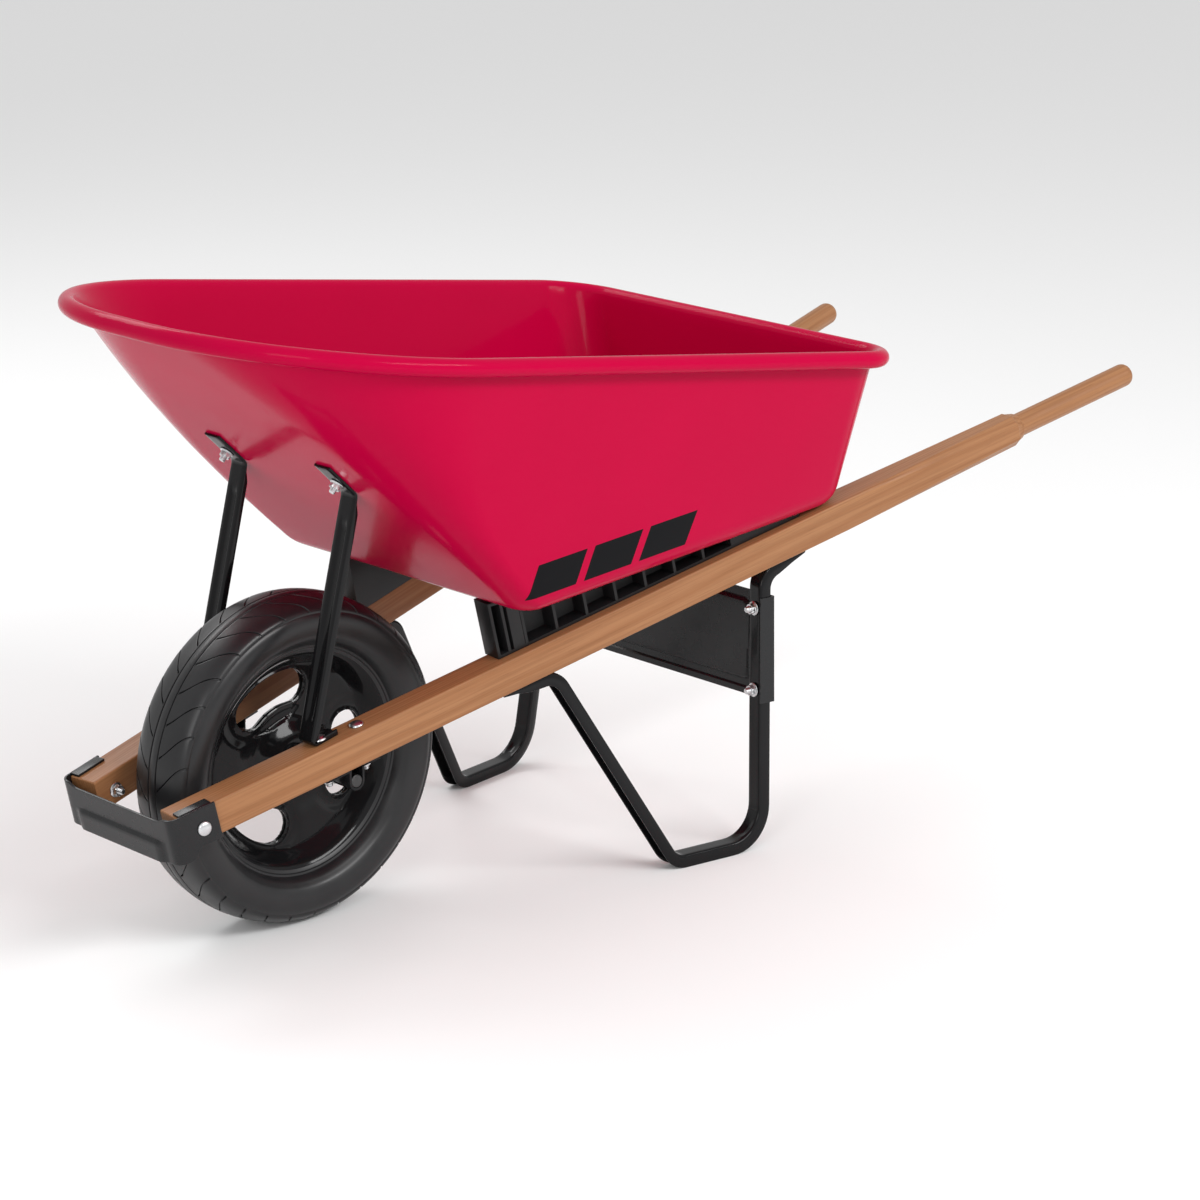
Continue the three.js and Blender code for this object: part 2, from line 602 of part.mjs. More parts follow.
/** A straight hardwood handle: square, then eight-sided up to the shoulder, then a round grip. */
function handle(bolts) {
  const shoulder = HANDLE_LENGTH - GRIP_LENGTH;
  const rings = [
    squareRing(0, MIDDLE, EDGE_CHAMFER),
    squareRing(shoulder - CHAMFER_RUN, MIDDLE, EDGE_CHAMFER),
    squareRing(shoulder - SHOULDER_LENGTH, MIDDLE, SHOULDER_CHAMFER),
    roundRing(shoulder, GRIP_RADIUS + 1),
    roundRing(shoulder + 2, GRIP_RADIUS),
    roundRing(HANDLE_LENGTH - 7, GRIP_RADIUS),
    roundRing(HANDLE_LENGTH - 2, GRIP_RADIUS - 2.5),
    roundRing(HANDLE_LENGTH, GRIP_RADIUS - 7),
  ];
  const outline = rings[0].map((point) => vec2(point.y, point.z));
  const body = solid(skin(rings, outline), RAIL);
  return geometryOf(drilled(
    body, bolts.guard_bolt, bolts.axle_bolt_front, bolts.axle_bolt_rear,
    bolts.tray_bolt_front, bolts.tray_bolt_rear,
  ));
}

/** The bent plate in front of the wheel: a front face, round corners, and an ear on each handle. */
function noseGuard(bolts) {
  const forward = vec(Math.cos(HANDLE_PITCH), 0, Math.sin(HANDLE_PITCH));
  const upright = vec(-Math.sin(HANDLE_PITCH), 0, Math.cos(HANDLE_PITCH));
  const flat = (point) => vec2(point.dot(forward), point.y);
  const start = vec(NOSE.x, 0, NOSE.z);
  const inside = HANDLE_SIZE + GAP;
  const earEnd = flat(railPoint(GUARD_EAR_END, inside, 0).sub(start));
  const earFront = flat(railPoint(0, inside, 0).sub(start));
  const slope = (earEnd.y - earFront.y) / (earEnd.x - earFront.x);
  const corner = vec2(-GUARD_AHEAD, earFront.y - (earFront.x + GUARD_AHEAD) * slope);
  const dipY = corner.y - GUARD_CORNER - 6;
  const vertices = [vec2(-GUARD_AHEAD, 0), vec2(-GUARD_AHEAD, dipY), corner, earEnd];
  const path = roundedPath(vertices, [0, GUARD_CORNER], 5);
  const fullTurn = Math.atan2(earEnd.y - earFront.y, earEnd.x - earFront.x) - Math.PI / 2;
  const top = GAP + GUARD_SHEET;
  const half = path.map(({ point, heading }) => {
    const turn = (Math.atan2(heading.y, heading.x) - Math.PI / 2) / fullTurn;
    const rise = upright.clone().lerp(UP, turn);
    const base = start.clone().addScaledVector(forward, point.x).setY(point.y);
    const outward = forward.clone().multiplyScalar(-heading.y).setY(heading.x);
    const low = point.x > 0 ? GUARD_EAR_BOTTOM : GUARD_BOTTOM;
    const high = point.y > dipY ? top : GUARD_DIP;
    const wall = [low, high].map((height) => base.clone().addScaledVector(rise, height));
    const face = wall.map((edge) => edge.clone().addScaledVector(outward, GUARD_SHEET));
    return [wall[0], face[0], face[1], wall[1]];
  });
  const flip = (point) => vec(point.x, -point.y, point.z);
  const mirrored = half.slice(1).reverse().map((edge) => edge.map(flip));
  const outline = [vec2(0, 0), vec2(1, 0), vec2(1, 1), vec2(0, 1)];
  const tabLow = vec(GUARD_TAB_START, HANDLE_SIZE - GUARD_TAB_WIDTH, GAP);
  const tabHigh = vec(GUARD_TAB_END, HANDLE_SIZE + GAP + GUARD_SHEET / 2, top);
  const tab = solid(block(tabLow, tabHigh), RAIL);
  const right = drilled(solid(skin([...mirrored, ...half], outline)).add(tab), bolts.guard_bolt);
  return geometryOf(drilled(right.mirror([0, 1, 0]).add(tab), bolts.guard_bolt));
}

// ---- Tray -------------------------------------------------------------------------------------------

/** Half of a rounded outline, front to rear, with each point's outward direction and its pull. */
function halfOutline(front, rear, halfWidth, frontCorner, rearCorner) {
  const points = [];
  const add = (x, y, angle, pull = vec2(0, 0)) => {
    points.push({ x, y, pull, out: vec2(Math.cos(angle), Math.sin(angle)) });
  };
  const sideStart = front + frontCorner;
  const sideEnd = rear - rearCorner;
  const frontFlat = halfWidth - frontCorner;
  for (let k = 0; k < 2; k += 1) add(front, (frontFlat * k) / 2, Math.PI, vec2(0, k / 2));
  for (let k = 0; k <= 9; k += 1) {
    const turn = Math.PI - (k * Math.PI) / 18;
    const pull = vec2(1 + Math.cos(turn), 1 - Math.sin(turn));
    add(sideStart + frontCorner * Math.cos(turn), frontFlat + frontCorner * Math.sin(turn), turn, pull);
  }
  for (let k = 1; k < 3; k += 1) add(sideStart + ((sideEnd - sideStart) * k) / 3, halfWidth, Math.PI / 2);
  for (let k = 0; k <= 5; k += 1) {
    const turn = Math.PI / 2 - (k * Math.PI) / 10;
    add(sideEnd + rearCorner * Math.cos(turn), halfWidth - rearCorner * (1 - Math.sin(turn)), turn);
  }
  add(rear, (halfWidth - rearCorner) / 2, 0);
  add(rear, 0, 0);
  return points;
}

/** The outline all the way round, the second half mirrored from the first. */
function fullOutline(...sizes) {
  const half = halfOutline(...sizes);
  const other = half.slice(1, -1).reverse();
  const flip = ({ x, y, pull, out }) => ({ x, y: -y, pull: vec2(pull.x, -pull.y), out: vec2(out.x, -out.y) });
  return [...half, ...other.map(flip)];
}

/** The pressed tray: a floor, four walls as one skin, and a rim rolled outward into an open bead. */
function tray(bolts) {
  const floor = fullOutline(
    TRAY_FLOOR_FRONT_X, TRAY_FLOOR_REAR_X, TRAY_FLOOR_HALF_WIDTH,
    TRAY_FLOOR_FRONT_CORNER, TRAY_FLOOR_REAR_CORNER,
  );
  const rim = fullOutline(RIM_FRONT_X, RIM_REAR_X, RIM_HALF_WIDTH, RIM_FRONT_CORNER, RIM_REAR_CORNER);
  const floorNormal = vec(-Math.sin(TRAY_FLOOR_PITCH), 0, Math.cos(TRAY_FLOOR_PITCH));
  const columns = floor.map((low, i) => trayColumn(low, rim[i], floorNormal));
  const rings = columns[0].map((_, row) => columns.map((column) => column[row]));
  const body = solid(skin(rings, floor.map(({ x, y }) => vec2(x, y))));
  const holes = [bolts.tray_bolt_front, bolts.tray_bolt_rear, bolts.tray_brace_bolt];
  const right = drilled(body, ...holes);
  return geometryOf(drilled(right.mirror([0, 1, 0]), ...holes));
}

/** One line of the tray's skin: from the floor's underside up and round the bead, and down the inside. */
function trayColumn(low, high, floorNormal) {
  const onFloor = (x, y) => vec(x, y, floorZ(x) + TRAY_SHEET / Math.cos(TRAY_FLOOR_PITCH));
  const foot = onFloor(low.x, low.y);
  const bead = vec(high.x, high.y, rimZ(high.x));
  const outward = vec(high.out.x, high.out.y, 0);
  const climb = bead.clone().sub(foot);
  const lean = Math.atan2(climb.dot(outward), climb.z);
  const inward = outward.clone().multiplyScalar(-Math.cos(lean)).setZ(Math.sin(lean));
  const head = bead.clone().addScaledVector(inward, BEAD_RADIUS);
  const start = onFloor(low.x - low.out.x * TRAY_FLOOR_FILLET, low.y - low.out.y * TRAY_FLOOR_FILLET);
  const onWall = (share) => {
    const lag = (RIM_FRONT_CORNER - TRAY_FLOOR_FRONT_CORNER) * (share ** FRONT_CORNER_POWER - share);
    return foot.clone().lerp(head, share).add(vec(lag * low.pull.x, -lag * low.pull.y, 0));
  };
  const filletEnd = TRAY_FLOOR_FILLET / head.distanceTo(foot);
  const end = onWall(filletEnd);
  const fillet = new THREE.QuadraticBezierCurve3(start, foot, end);
  const inner = [];
  const outer = [];
  const add = (point, normal) => {
    inner.push(point);
    outer.push(point.clone().addScaledVector(normal, -TRAY_SHEET));
  };
  for (let k = 0; k <= 4; k += 1) {
    add(fillet.getPoint(k / 4), floorNormal.clone().lerp(inward, k / 4).normalize());
  }
  for (let k = 1; k < WALL_ROWS; k += 1) add(onWall(filletEnd + ((1 - filletEnd) * k) / WALL_ROWS), inward);
  const startAngle = Math.PI - lean;
  const curl = (radius) => [0, 1, 2, 3, 4, 5].map((k) => {
    const angle = startAngle + ((BEAD_END_ANGLE - startAngle) * k) / 5;
    return bead.clone().addScaledVector(outward, radius * Math.cos(angle))
      .add(vec(0, 0, radius * Math.sin(angle)));
  });
  return [...outer, ...curl(BEAD_RADIUS - TRAY_SHEET), ...curl(BEAD_RADIUS).reverse(), ...inner.reverse()];
}

// ---- Risers, legs, panel and braces -----------------------------------------------------------------

/** All the space above the tray's floor, lowered by some distance. */
function aboveFloor(lowered) {
  const reach = 1000;
  const tilt = new THREE.Matrix4().makeRotationY(-TRAY_FLOOR_PITCH)
    .setPosition(TRAY_FLOOR_FRONT_X, 0, TRAY_FLOOR_FRONT_Z - lowered);
  return solid(block(vec(-reach, -reach, 0), vec(reach, reach, reach)), tilt);
}

/** A ribbed wedge on the handle, under the tray: its pockets are open to the outside. */
function riser(bolts) {
  const slope = (floorAbove(RISER_START + 100, MIDDLE) - floorAbove(RISER_START, MIDDLE)) / 100;
  const end = RISER_START + (RISER_TIP - floorAbove(RISER_START, MIDDLE)) / slope;
  const tall = 120;
  const outer = RISER_INNER + RISER_WIDTH;
  const wedge = solid(block(vec(RISER_START, RISER_INNER, GAP), vec(end, outer, tall)), RAIL);
  const widths = [RISER_NARROW_POCKET, RISER_WINDOW_POCKET];
  let pockets = null;
  let along = RISER_START + RISER_WALL;
  const boltRoom = BOLT_RADIUS + GAP + RISER_WALL;
  while (floorAbove(along + RISER_POCKET, MIDDLE) > RISER_LEAST_HEIGHT) {
    const width = widths.shift() || RISER_POCKET;
    const low = vec(along, RISER_INNER + RISER_WALL, GAP + RISER_WALL);
    const pocket = solid(block(low, vec(along + width, outer + 1, tall)), RAIL);
    pockets = pockets ? pockets.add(pocket) : pocket;
    along += width + RISER_WALL;
  }
  const pillar = solid(block(
    vec(TRAY_BOLT_FRONT - boltRoom, RISER_INNER, 0), vec(TRAY_BOLT_FRONT + boltRoom, outer, tall),
  ), RAIL);
  const hollow = pockets.subtract(pillar).subtract(aboveFloor(RISER_WALL));
  const body = wedge.subtract(aboveFloor(GAP)).subtract(hollow);
  return geometryOf(drilled(body, bolts.tray_bolt_front, bolts.tray_bolt_rear));
}

/** The corners of a leg's path: the face towards the inside of its loop. */
function legVertices() {
  const under = -HANDLE_SIZE - GAP;
  return [
    vec2(LEG_FRONT_TAB, under),
    vec2(LEG_FRONT_BEND, under),
    levelToRail(FOOT_FRONT, LEG_DEPTH),
    levelToRail(FOOT_REAR, LEG_DEPTH),
    vec2(LEG_REAR_BEND, under),
    vec2(LEG_REAR_TAB, under),
  ];
}

/** A leg: one channel bent into a tab, a diagonal, a foot, an upright and a second tab. */
function leg(bolts) {
  const section = channelSection(LEG_WIDTH, LEG_SHEET, LEG_DEPTH);
  const rings = roundedPath(legVertices(), LEG_BEND_RADII, 5).map(({ point, heading }) => section.map(
    ({ x: across, y: deep }) => {
      const inside = vec2(heading.y, -heading.x).multiplyScalar(deep);
      return legPoint(point.clone().add(inside), across);
    },
  ));
  const body = solid(skin(rings, section));
  return geometryOf(drilled(
    body, bolts.tray_bolt_front, bolts.tray_bolt_rear, bolts.panel_bolt_lower, bolts.panel_bolt_upper,
  ));
}

/** The pressed plate behind the two uprights, with a lip round the outside of each. */
function legBracePanel(bolts) {
  const side = LEG_WIDTH / 2 + GAP;
  const edge = (height) => {
    const front = uprightDistance(height);
    const at = (back, across) => legPoint(levelToRail(front + back, height), across);
    return {
      height,
      x: at(LEG_DEPTH, -LEG_WIDTH / 2).x + 2 * GAP,
      y: at(LEG_DEPTH, side + PANEL_SHEET).y,
      lip: [
        at(0, side), at(LEG_DEPTH + 5, side),
        at(LEG_DEPTH + 5, side + PANEL_SHEET), at(0, side + PANEL_SHEET),
      ],
    };
  };
  const low = edge(PANEL_BOTTOM_Z);
  const high = edge(PANEL_TOP_Z);
  const plate = (forward, border, thick) => {
    const corner = ({ x, y, height }, inset) => [x - forward, y - border, height + inset];
    const [a, b] = [corner(low, border), corner(high, -border)];
    const face = (shift) => [
      vec(a[0] + shift, -a[1], a[2]), vec(a[0] + shift, a[1], a[2]),
      vec(b[0] + shift, b[1], b[2]), vec(b[0] + shift, -b[1], b[2]),
    ];
    return solid(hexahedron(face(0), face(thick)));
  };
  const border = PANEL_BORDER + LEG_WIDTH;
  const lip = solid(hexahedron(low.lip, high.lip));
  const body = plate(0, 0, PANEL_SHEET)
    .add(plate(PANEL_RAISE, border, PANEL_RAISE + PANEL_SHEET / 2))
    .subtract(plate(PANEL_RAISE - PANEL_SHEET, border + PANEL_SHEET, 3 * PANEL_RAISE))
    .add(lip);
  const holes = [bolts.panel_bolt_lower, bolts.panel_bolt_upper];
  const right = drilled(body, ...holes);
  return geometryOf(drilled(right.mirror([0, 1, 0]).add(lip), ...holes));
}

/** The strap from the handle's top to the tray's front wall, stiffened by a lip down each side. */
function trayBrace(bolts) {
  const edgeY = BRACE_Y + BRACE_WIDTH / 2;
  const onHandle = (x) => {
    const normal = UP.clone().divideScalar(UP.z);
    return vec2(x, NOSE.z - (x - NOSE.x) * normal.x - (edgeY - NOSE.y) * normal.y + GAP);
  };
  const foot = onHandle(BRACE_FOOT_FRONT_X);
  const crease = besideWall(BRACE_CREASE_Z, TRAY_SHEET + BRACE_SHEET + 2 * GAP);
  const tip = crease.clone().addScaledVector(WALL_CLIMB, BRACE_TAB_LENGTH);
  const reach = 26; // from each bend to the full depth of the lips
  const climb = crease.clone().sub(foot).normalize();
  const lipStart = foot.clone().addScaledVector(climb, reach);
  const lipEnd = crease.clone().addScaledVector(climb, -reach);
  const vertices = [onHandle(BRACE_FOOT_REAR_X), foot, lipStart, lipEnd, crease, tip];
  const radii = [BRACE_BEND_RADIUS, 0, 0, BRACE_BEND_RADIUS];
  const section = (deep) => channelSection(BRACE_WIDTH, BRACE_SHEET, deep);
  const rings = roundedPath(vertices, radii, 4).map(({ point, heading }) => {
    const onStrap = point.y > lipStart.y - 1 && point.y < lipEnd.y + 1;
    return section(onStrap ? BRACE_FLANGE : BRACE_SHEET + 0.4).map(({ x: across, y: deep }) => {
      const flat = point.clone().add(vec2(heading.y, -heading.x).multiplyScalar(deep));
      return vec(flat.x, BRACE_Y + across, flat.y);
    });
  });
  const body = solid(skin(rings, section(BRACE_FLANGE)));
  return geometryOf(drilled(body, bolts.axle_bolt_front, bolts.tray_brace_bolt));
}

// ---- Materials and assembly -------------------------------------------------------------------------

function finish(color, roughness, metalness) {
  return new THREE.MeshStandardMaterial({ color, roughness, metalness });
}
const TRAY_PAINT = finish(0xc8143f, 0.25, 0.2);
const WOOD = finish(0xb8834f, 0.55, 0);
const BLACK_PAINT = finish(0x101214, 0.25, 0.3);
const BLACK_PLASTIC = finish(0x1a1b1d, 0.6, 0);
const RUBBER = finish(0x202124, 0.7, 0);
const RIM_PAINT = finish(0x08090a, 0.15, 0.3);
const ZINC = finish(0xc3c7cc, 0.3, 1);
const STEEL = finish(0x8d9196, 0.35, 1);
const BRONZE = finish(0x9b7a44, 0.4, 1);

const bolts = boltPlan();
const wheelbarrow = new THREE.Group();
const right = new THREE.Group();
const left = new THREE.Group();
left.scale.y = -1;
wheelbarrow.add(right, left);

function add(group, name, geometry, material) {
  const mesh = new THREE.Mesh(geometry, material);
  mesh.name = name;
  group.add(mesh);
  return mesh;
}

/** The same piece on both sides, the left one mirrored. */
function addPair(name, geometry, material) {
  add(right, `${name}_right`, geometry, material);
  add(left, `${name}_left`, geometry, material);
}

add(wheelbarrow, "tray", tray(bolts), TRAY_PAINT);
add(wheelbarrow, "nose_guard", noseGuard(bolts), BLACK_PAINT);
add(wheelbarrow, "leg_brace_panel", legBracePanel(bolts), BLACK_PAINT);
addPair("handle", handle(bolts), WOOD);
addPair("riser", riser(bolts), BLACK_PLASTIC);
addPair("leg", leg(bolts), BLACK_PAINT);
addPair("tray_brace", trayBrace(bolts), BLACK_PAINT);
addPair("axle_bracket", axleBracket(bolts), BLACK_PAINT);

const wheel = new THREE.Group();
wheel.position.copy(AXLE);
wheelbarrow.add(wheel);
add(wheel, "tyre", tyre(), RUBBER);
add(wheel, "hub", hub(), BLACK_PAINT);
add(wheel, "axle", axle(), STEEL);
for (const [side, sign] of [["right", 1], ["left", -1]]) {
  const half = new THREE.Group();
  half.scale.y = sign;
  wheel.add(half);
  add(half, `rim_${side}`, rimHalf(), RIM_PAINT);
  add(half, `wheel_bearing_${side}`, bearing(), BRONZE);
  add(half, `axle_spacer_${side}`, axleSpacer(), STEEL);
}

for (const [name, bolt] of Object.entries(bolts)) {
  addPair(name, boltBody(bolt), ZINC);
  addPair(name.replace("bolt", "nut"), nutBody(bolt), ZINC);
}

wheelbarrow.updateMatrixWorld(true);
const extent = new THREE.Box3().setFromObject(wheelbarrow);
wheelbarrow.position.x = -(extent.min.x + extent.max.x) / 2;

export default wheelbarrow;
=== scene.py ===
"""The looks of a wheelbarrow: a pressed tray, timber handles, bent steel legs and one broad wheel.

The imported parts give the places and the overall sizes. Each sub-assembly is a class that holds its sizes in
millimetres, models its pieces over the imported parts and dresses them. The functions spot and middle_of and
the class Rail turn sizes and nodes into places in metres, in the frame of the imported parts. Most pieces of
a pair are modelled on the right side and mirrored to the left.
"""
import logging
import math
from contextlib import contextmanager
from dataclasses import dataclass, field
from enum import Enum
from typing import Callable, Iterator, Optional, Sequence

import bmesh
import bpy
import numpy as np
from mathutils import Matrix, Vector


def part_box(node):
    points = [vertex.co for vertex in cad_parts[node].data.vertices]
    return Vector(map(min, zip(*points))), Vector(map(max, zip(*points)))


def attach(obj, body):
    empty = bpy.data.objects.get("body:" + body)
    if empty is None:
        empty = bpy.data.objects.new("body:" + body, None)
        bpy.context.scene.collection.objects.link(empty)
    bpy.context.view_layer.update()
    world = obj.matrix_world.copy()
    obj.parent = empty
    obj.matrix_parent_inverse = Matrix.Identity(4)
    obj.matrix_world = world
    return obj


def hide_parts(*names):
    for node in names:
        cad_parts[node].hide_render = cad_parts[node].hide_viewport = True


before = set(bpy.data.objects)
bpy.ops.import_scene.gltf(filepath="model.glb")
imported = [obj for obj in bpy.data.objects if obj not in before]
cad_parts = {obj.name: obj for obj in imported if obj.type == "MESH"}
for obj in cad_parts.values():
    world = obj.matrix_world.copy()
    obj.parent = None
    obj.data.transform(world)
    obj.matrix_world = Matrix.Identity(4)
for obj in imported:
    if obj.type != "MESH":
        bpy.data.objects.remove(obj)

LOG = logging.getLogger("wheelbarrow")
MM = 0.001
Flat = tuple[float, float]
Piece = bpy.types.Object
Socket = bpy.types.NodeSocket


class Side(Enum):
    """The side of a person who walks behind the barrow; the value is the sign of Y."""

    RIGHT = 1
    LEFT = -1

    @property
    def word(self) -> str:
        """The side's name as used in node names."""
        return self.name.lower()


class Body(Enum):
    """The two bodies that pieces ride on."""

    FRAME = "frame"
    WHEEL = "wheel"


# ---- Places -------------------------------------------------------------------------------------------


def middle_of(node: str) -> Vector:
    """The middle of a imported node's box, in metres."""
    low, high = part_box(node)
    return (low + high) / 2


AXLE = middle_of("axle")


def spot(x: float, y: float, z: float) -> Vector:
    """A point from millimetres behind the axle, right of the middle and above the ground."""
    return Vector((AXLE.x + x * MM, y * MM, z * MM))


def smooth(value: float, start: float, end: float) -> float:
    """Nought before start, one after end and a smooth step between them."""
    share = min(1.0, max(0.0, (value - start) / (end - start)))
    return share * share * (3 - 2 * share)


@dataclass(frozen=True)
class Rail:
    """The right handle's own frame: along it, out from its inner side and up from its top face."""

    size: float = 41.3
    length: float = 1524.0
    pitch: float = math.radians(12.67)
    splay: float = math.radians(7.32)
    nose_x: float = -238.7
    nose_y: float = 63.0
    axle_drop: float = 16.8

    @property
    def along(self) -> Vector:
        """The direction from the nose to the grip."""
        level = math.cos(self.pitch)
        return Vector((level * math.cos(self.splay), level * math.sin(self.splay), math.sin(self.pitch)))

    @property
    def out(self) -> Vector:
        """The level direction away from the wheel."""
        return Vector((-math.sin(self.splay), math.cos(self.splay), 0))

    @property
    def up(self) -> Vector:
        """The direction square to the top face."""
        return self.along.cross(self.out)

    @property
    def nose(self) -> Vector:
        """The front end of the inner top edge, in metres."""
        half = self.size / 2
        reach = (-self.nose_x - half * math.sin(self.splay)) / self.along.x
        above = self.along.z * reach
        height = AXLE.z / MM - above + (self.size + self.axle_drop) / self.up.z
        return spot(self.nose_x, self.nose_y, height)

    def point(self, along: float, out: float, up: float) -> Vector:
        """A point given in the handle's frame, in millimetres."""
        return self.nose + (self.along * along + self.out * out + self.up * up) * MM

    def leaning(self, along: float, across: float, up: float, lean: float) -> Vector:
        """A point of a leg: across from the handle's middle line, leaning outward with its depth."""
        return self.point(along, self.size / 2 + across + lean * (-self.size - up), up)

    def level(self, distance: float, height: float) -> Flat:
        """A level distance behind the nose and a height above the ground, as along and up."""
        rise = height - self.nose.z / MM
        cosine, sine = math.cos(self.pitch), math.sin(self.pitch)
        return distance * cosine + rise * sine, rise * cosine - distance * sine


RAIL = Rail()


# ---- Ways of making -----------------------------------------------------------------------------------


def deselect() -> None:
    """Deselects every object."""
    for found in list(bpy.context.selected_objects):
        found.select_set(False)


def activate(piece: Piece) -> None:
    """Makes the piece the only selected and active object.

    Args:
        piece: The object that the next operators act on.
    """
    deselect()
    piece.select_set(True)
    bpy.context.view_layer.objects.active = piece


@contextmanager
def editing(piece: Piece) -> Iterator[None]:
    """Holds the piece in edit mode, and leaves it in object mode.

    Args:
        piece: The object to edit.
    """
    activate(piece)
    bpy.ops.object.mode_set(mode="EDIT")
    bpy.ops.mesh.select_mode(type="VERT")
    try:
        yield
    finally:
        bpy.ops.object.mode_set(mode="OBJECT")


def select_all() -> None:
    """Selects all of the mesh in edit mode."""
    bpy.ops.mesh.select_all(action="SELECT")


def pick_faces(piece: Piece, wanted: Callable[[Vector, Vector], bool]) -> int:
    """Selects in edit mode the faces that pass a test of their middle and normal.

    Args:
        piece: The object in edit mode.
        wanted: Says whether a face with this middle and normal is picked.

    Returns:
        How many faces were picked.
    """
    bpy.ops.mesh.select_mode(type="FACE")
    bpy.ops.mesh.select_all(action="DESELECT")
    mesh = bmesh.from_edit_mesh(piece.data)
    mesh.normal_update()
    count = 0
    for face in mesh.faces:
        if wanted(face.calc_center_median(), face.normal):
            face.select_set(True)
            count += 1
    bmesh.update_edit_mesh(piece.data)
    return count


def tidy_shell(piece: Piece, distance: float = 1e-6) -> None:
    """Merges doubles and turns the faces outwards.

    Args:
        piece: The object to clean.
        distance: How close two vertices are merged, in metres.
    """
    with editing(piece):
        select_all()
        bpy.ops.mesh.remove_doubles(threshold=distance)
        bpy.ops.mesh.normals_make_consistent(inside=False)


def face_towards(piece: Piece, near: Vector, reach: float, way: Vector) -> None:
    """Turns an open surface so that its faces near a place look a given way.

    Args:
        piece: The surface.
        near: The place, in metres.
        reach: How far from the place a face's middle may be, in millimetres.
        way: The direction.
    """
    def looks_back(where: Vector, normal: Vector) -> bool:
        """Whether a face close to the place looks against the wanted way."""
        return (where - near).length < reach * MM and normal.dot(way) < -0.3

    with editing(piece):
        select_all()
        bpy.ops.mesh.normals_make_consistent(inside=False)
        if pick_faces(piece, looks_back):
            select_all()
            bpy.ops.mesh.flip_normals()


def modify(piece: Piece, kind: str, **settings: object) -> None:
    """Adds a modifier with its settings and applies it.

    Args:
        piece: The object to modify.
        kind: Blender's name of the modifier's type.
        settings: Values for the modifier's properties.
    """
    activate(piece)
    modifier = piece.modifiers.new(kind.title(), kind)
    for name, value in settings.items():
        setattr(modifier, name, value)
    bpy.ops.object.modifier_apply(modifier=modifier.name)


def thicken(piece: Piece, sheet: float, outward: bool = False) -> None:
    """Gives a surface the thickness of its sheet.

    Args:
        piece: The open surface.
        sheet: The thickness in millimetres.
        outward: Whether the thickness grows on the side that the faces point to.
    """
    modify(piece, "SOLIDIFY", thickness=sheet * MM, offset=1 if outward else -1)


def soften(piece: Piece, width: float, segments: int = 2, angle: float = 35.0) -> None:
    """Rounds the edges that are sharper than an angle.

    Args:
        piece: The object to round.
        width: The bevel's width in millimetres.
        segments: The bevel's steps.
        angle: The least angle between two faces that is rounded, in degrees.
    """
    modify(
        piece, "BEVEL", width=width * MM, segments=segments, limit_method="ANGLE",
        angle_limit=math.radians(angle), harden_normals=False, use_clamp_overlap=True,
    )


def shade(piece: Piece, angle: float = 40.0) -> None:
    """Shades the piece smooth, but not across edges sharper than an angle.

    Args:
        piece: The object to shade.
        angle: The least angle that stays sharp, in degrees.
    """
    activate(piece)
    bpy.ops.object.shade_smooth_by_angle(angle=math.radians(angle))


def settle(piece: Piece) -> None:
    """Puts the object at the origin, unturned, with its place in its mesh."""
    activate(piece)
    bpy.ops.object.transform_apply(location=True, rotation=True, scale=True)


def named(piece: Piece, name: str) -> Piece:
    """Names the object and its mesh."""
    piece.name = name
    piece.data.name = name
    return piece


def polyline(name: str, points: Sequence[Vector]) -> Piece:
    """A chain of edges, drawn by extruding one vertex from point to point.

    Args:
        name: The new object's name.
        points: The chain's points in metres.

    Returns:
        The object, with its chain of vertices in order.
    """
    deselect()
    bpy.ops.mesh.primitive_plane_add(size=MM, location=(0, 0, 0))
    piece = named(bpy.context.object, name)
    with editing(piece):
        select_all()
        bpy.ops.mesh.merge(type="CENTER")
        bpy.ops.transform.translate(value=points[0])
        for start, end in zip(points, points[1:]):
            bpy.ops.mesh.extrude_vertices_move(TRANSFORM_OT_translate={"value": end - start})
    return piece


def spun(name: str, profile: Sequence[Flat], centre: Vector, axis: Vector, steps: int) -> Piece:
    """A surface of revolution.

    Args:
        name: The new object's name.
        profile: Radius and distance along the axis for each point, in millimetres.
        centre: The point on the axis at distance nought.
        axis: The axis' direction.
        steps: How many steps go round.

    Returns:
        The closed surface, with its poles and seam merged and its faces outwards.
    """
    axis = axis.normalized()
    side = axis.orthogonal().normalized()
    points = [centre + (side * radius + axis * distance) * MM for radius, distance in profile]
    piece = polyline(name, points)
    with editing(piece):
        select_all()
        bpy.ops.mesh.spin(steps=steps, angle=2 * math.pi, center=centre, axis=axis)
    tidy_shell(piece)
    return piece


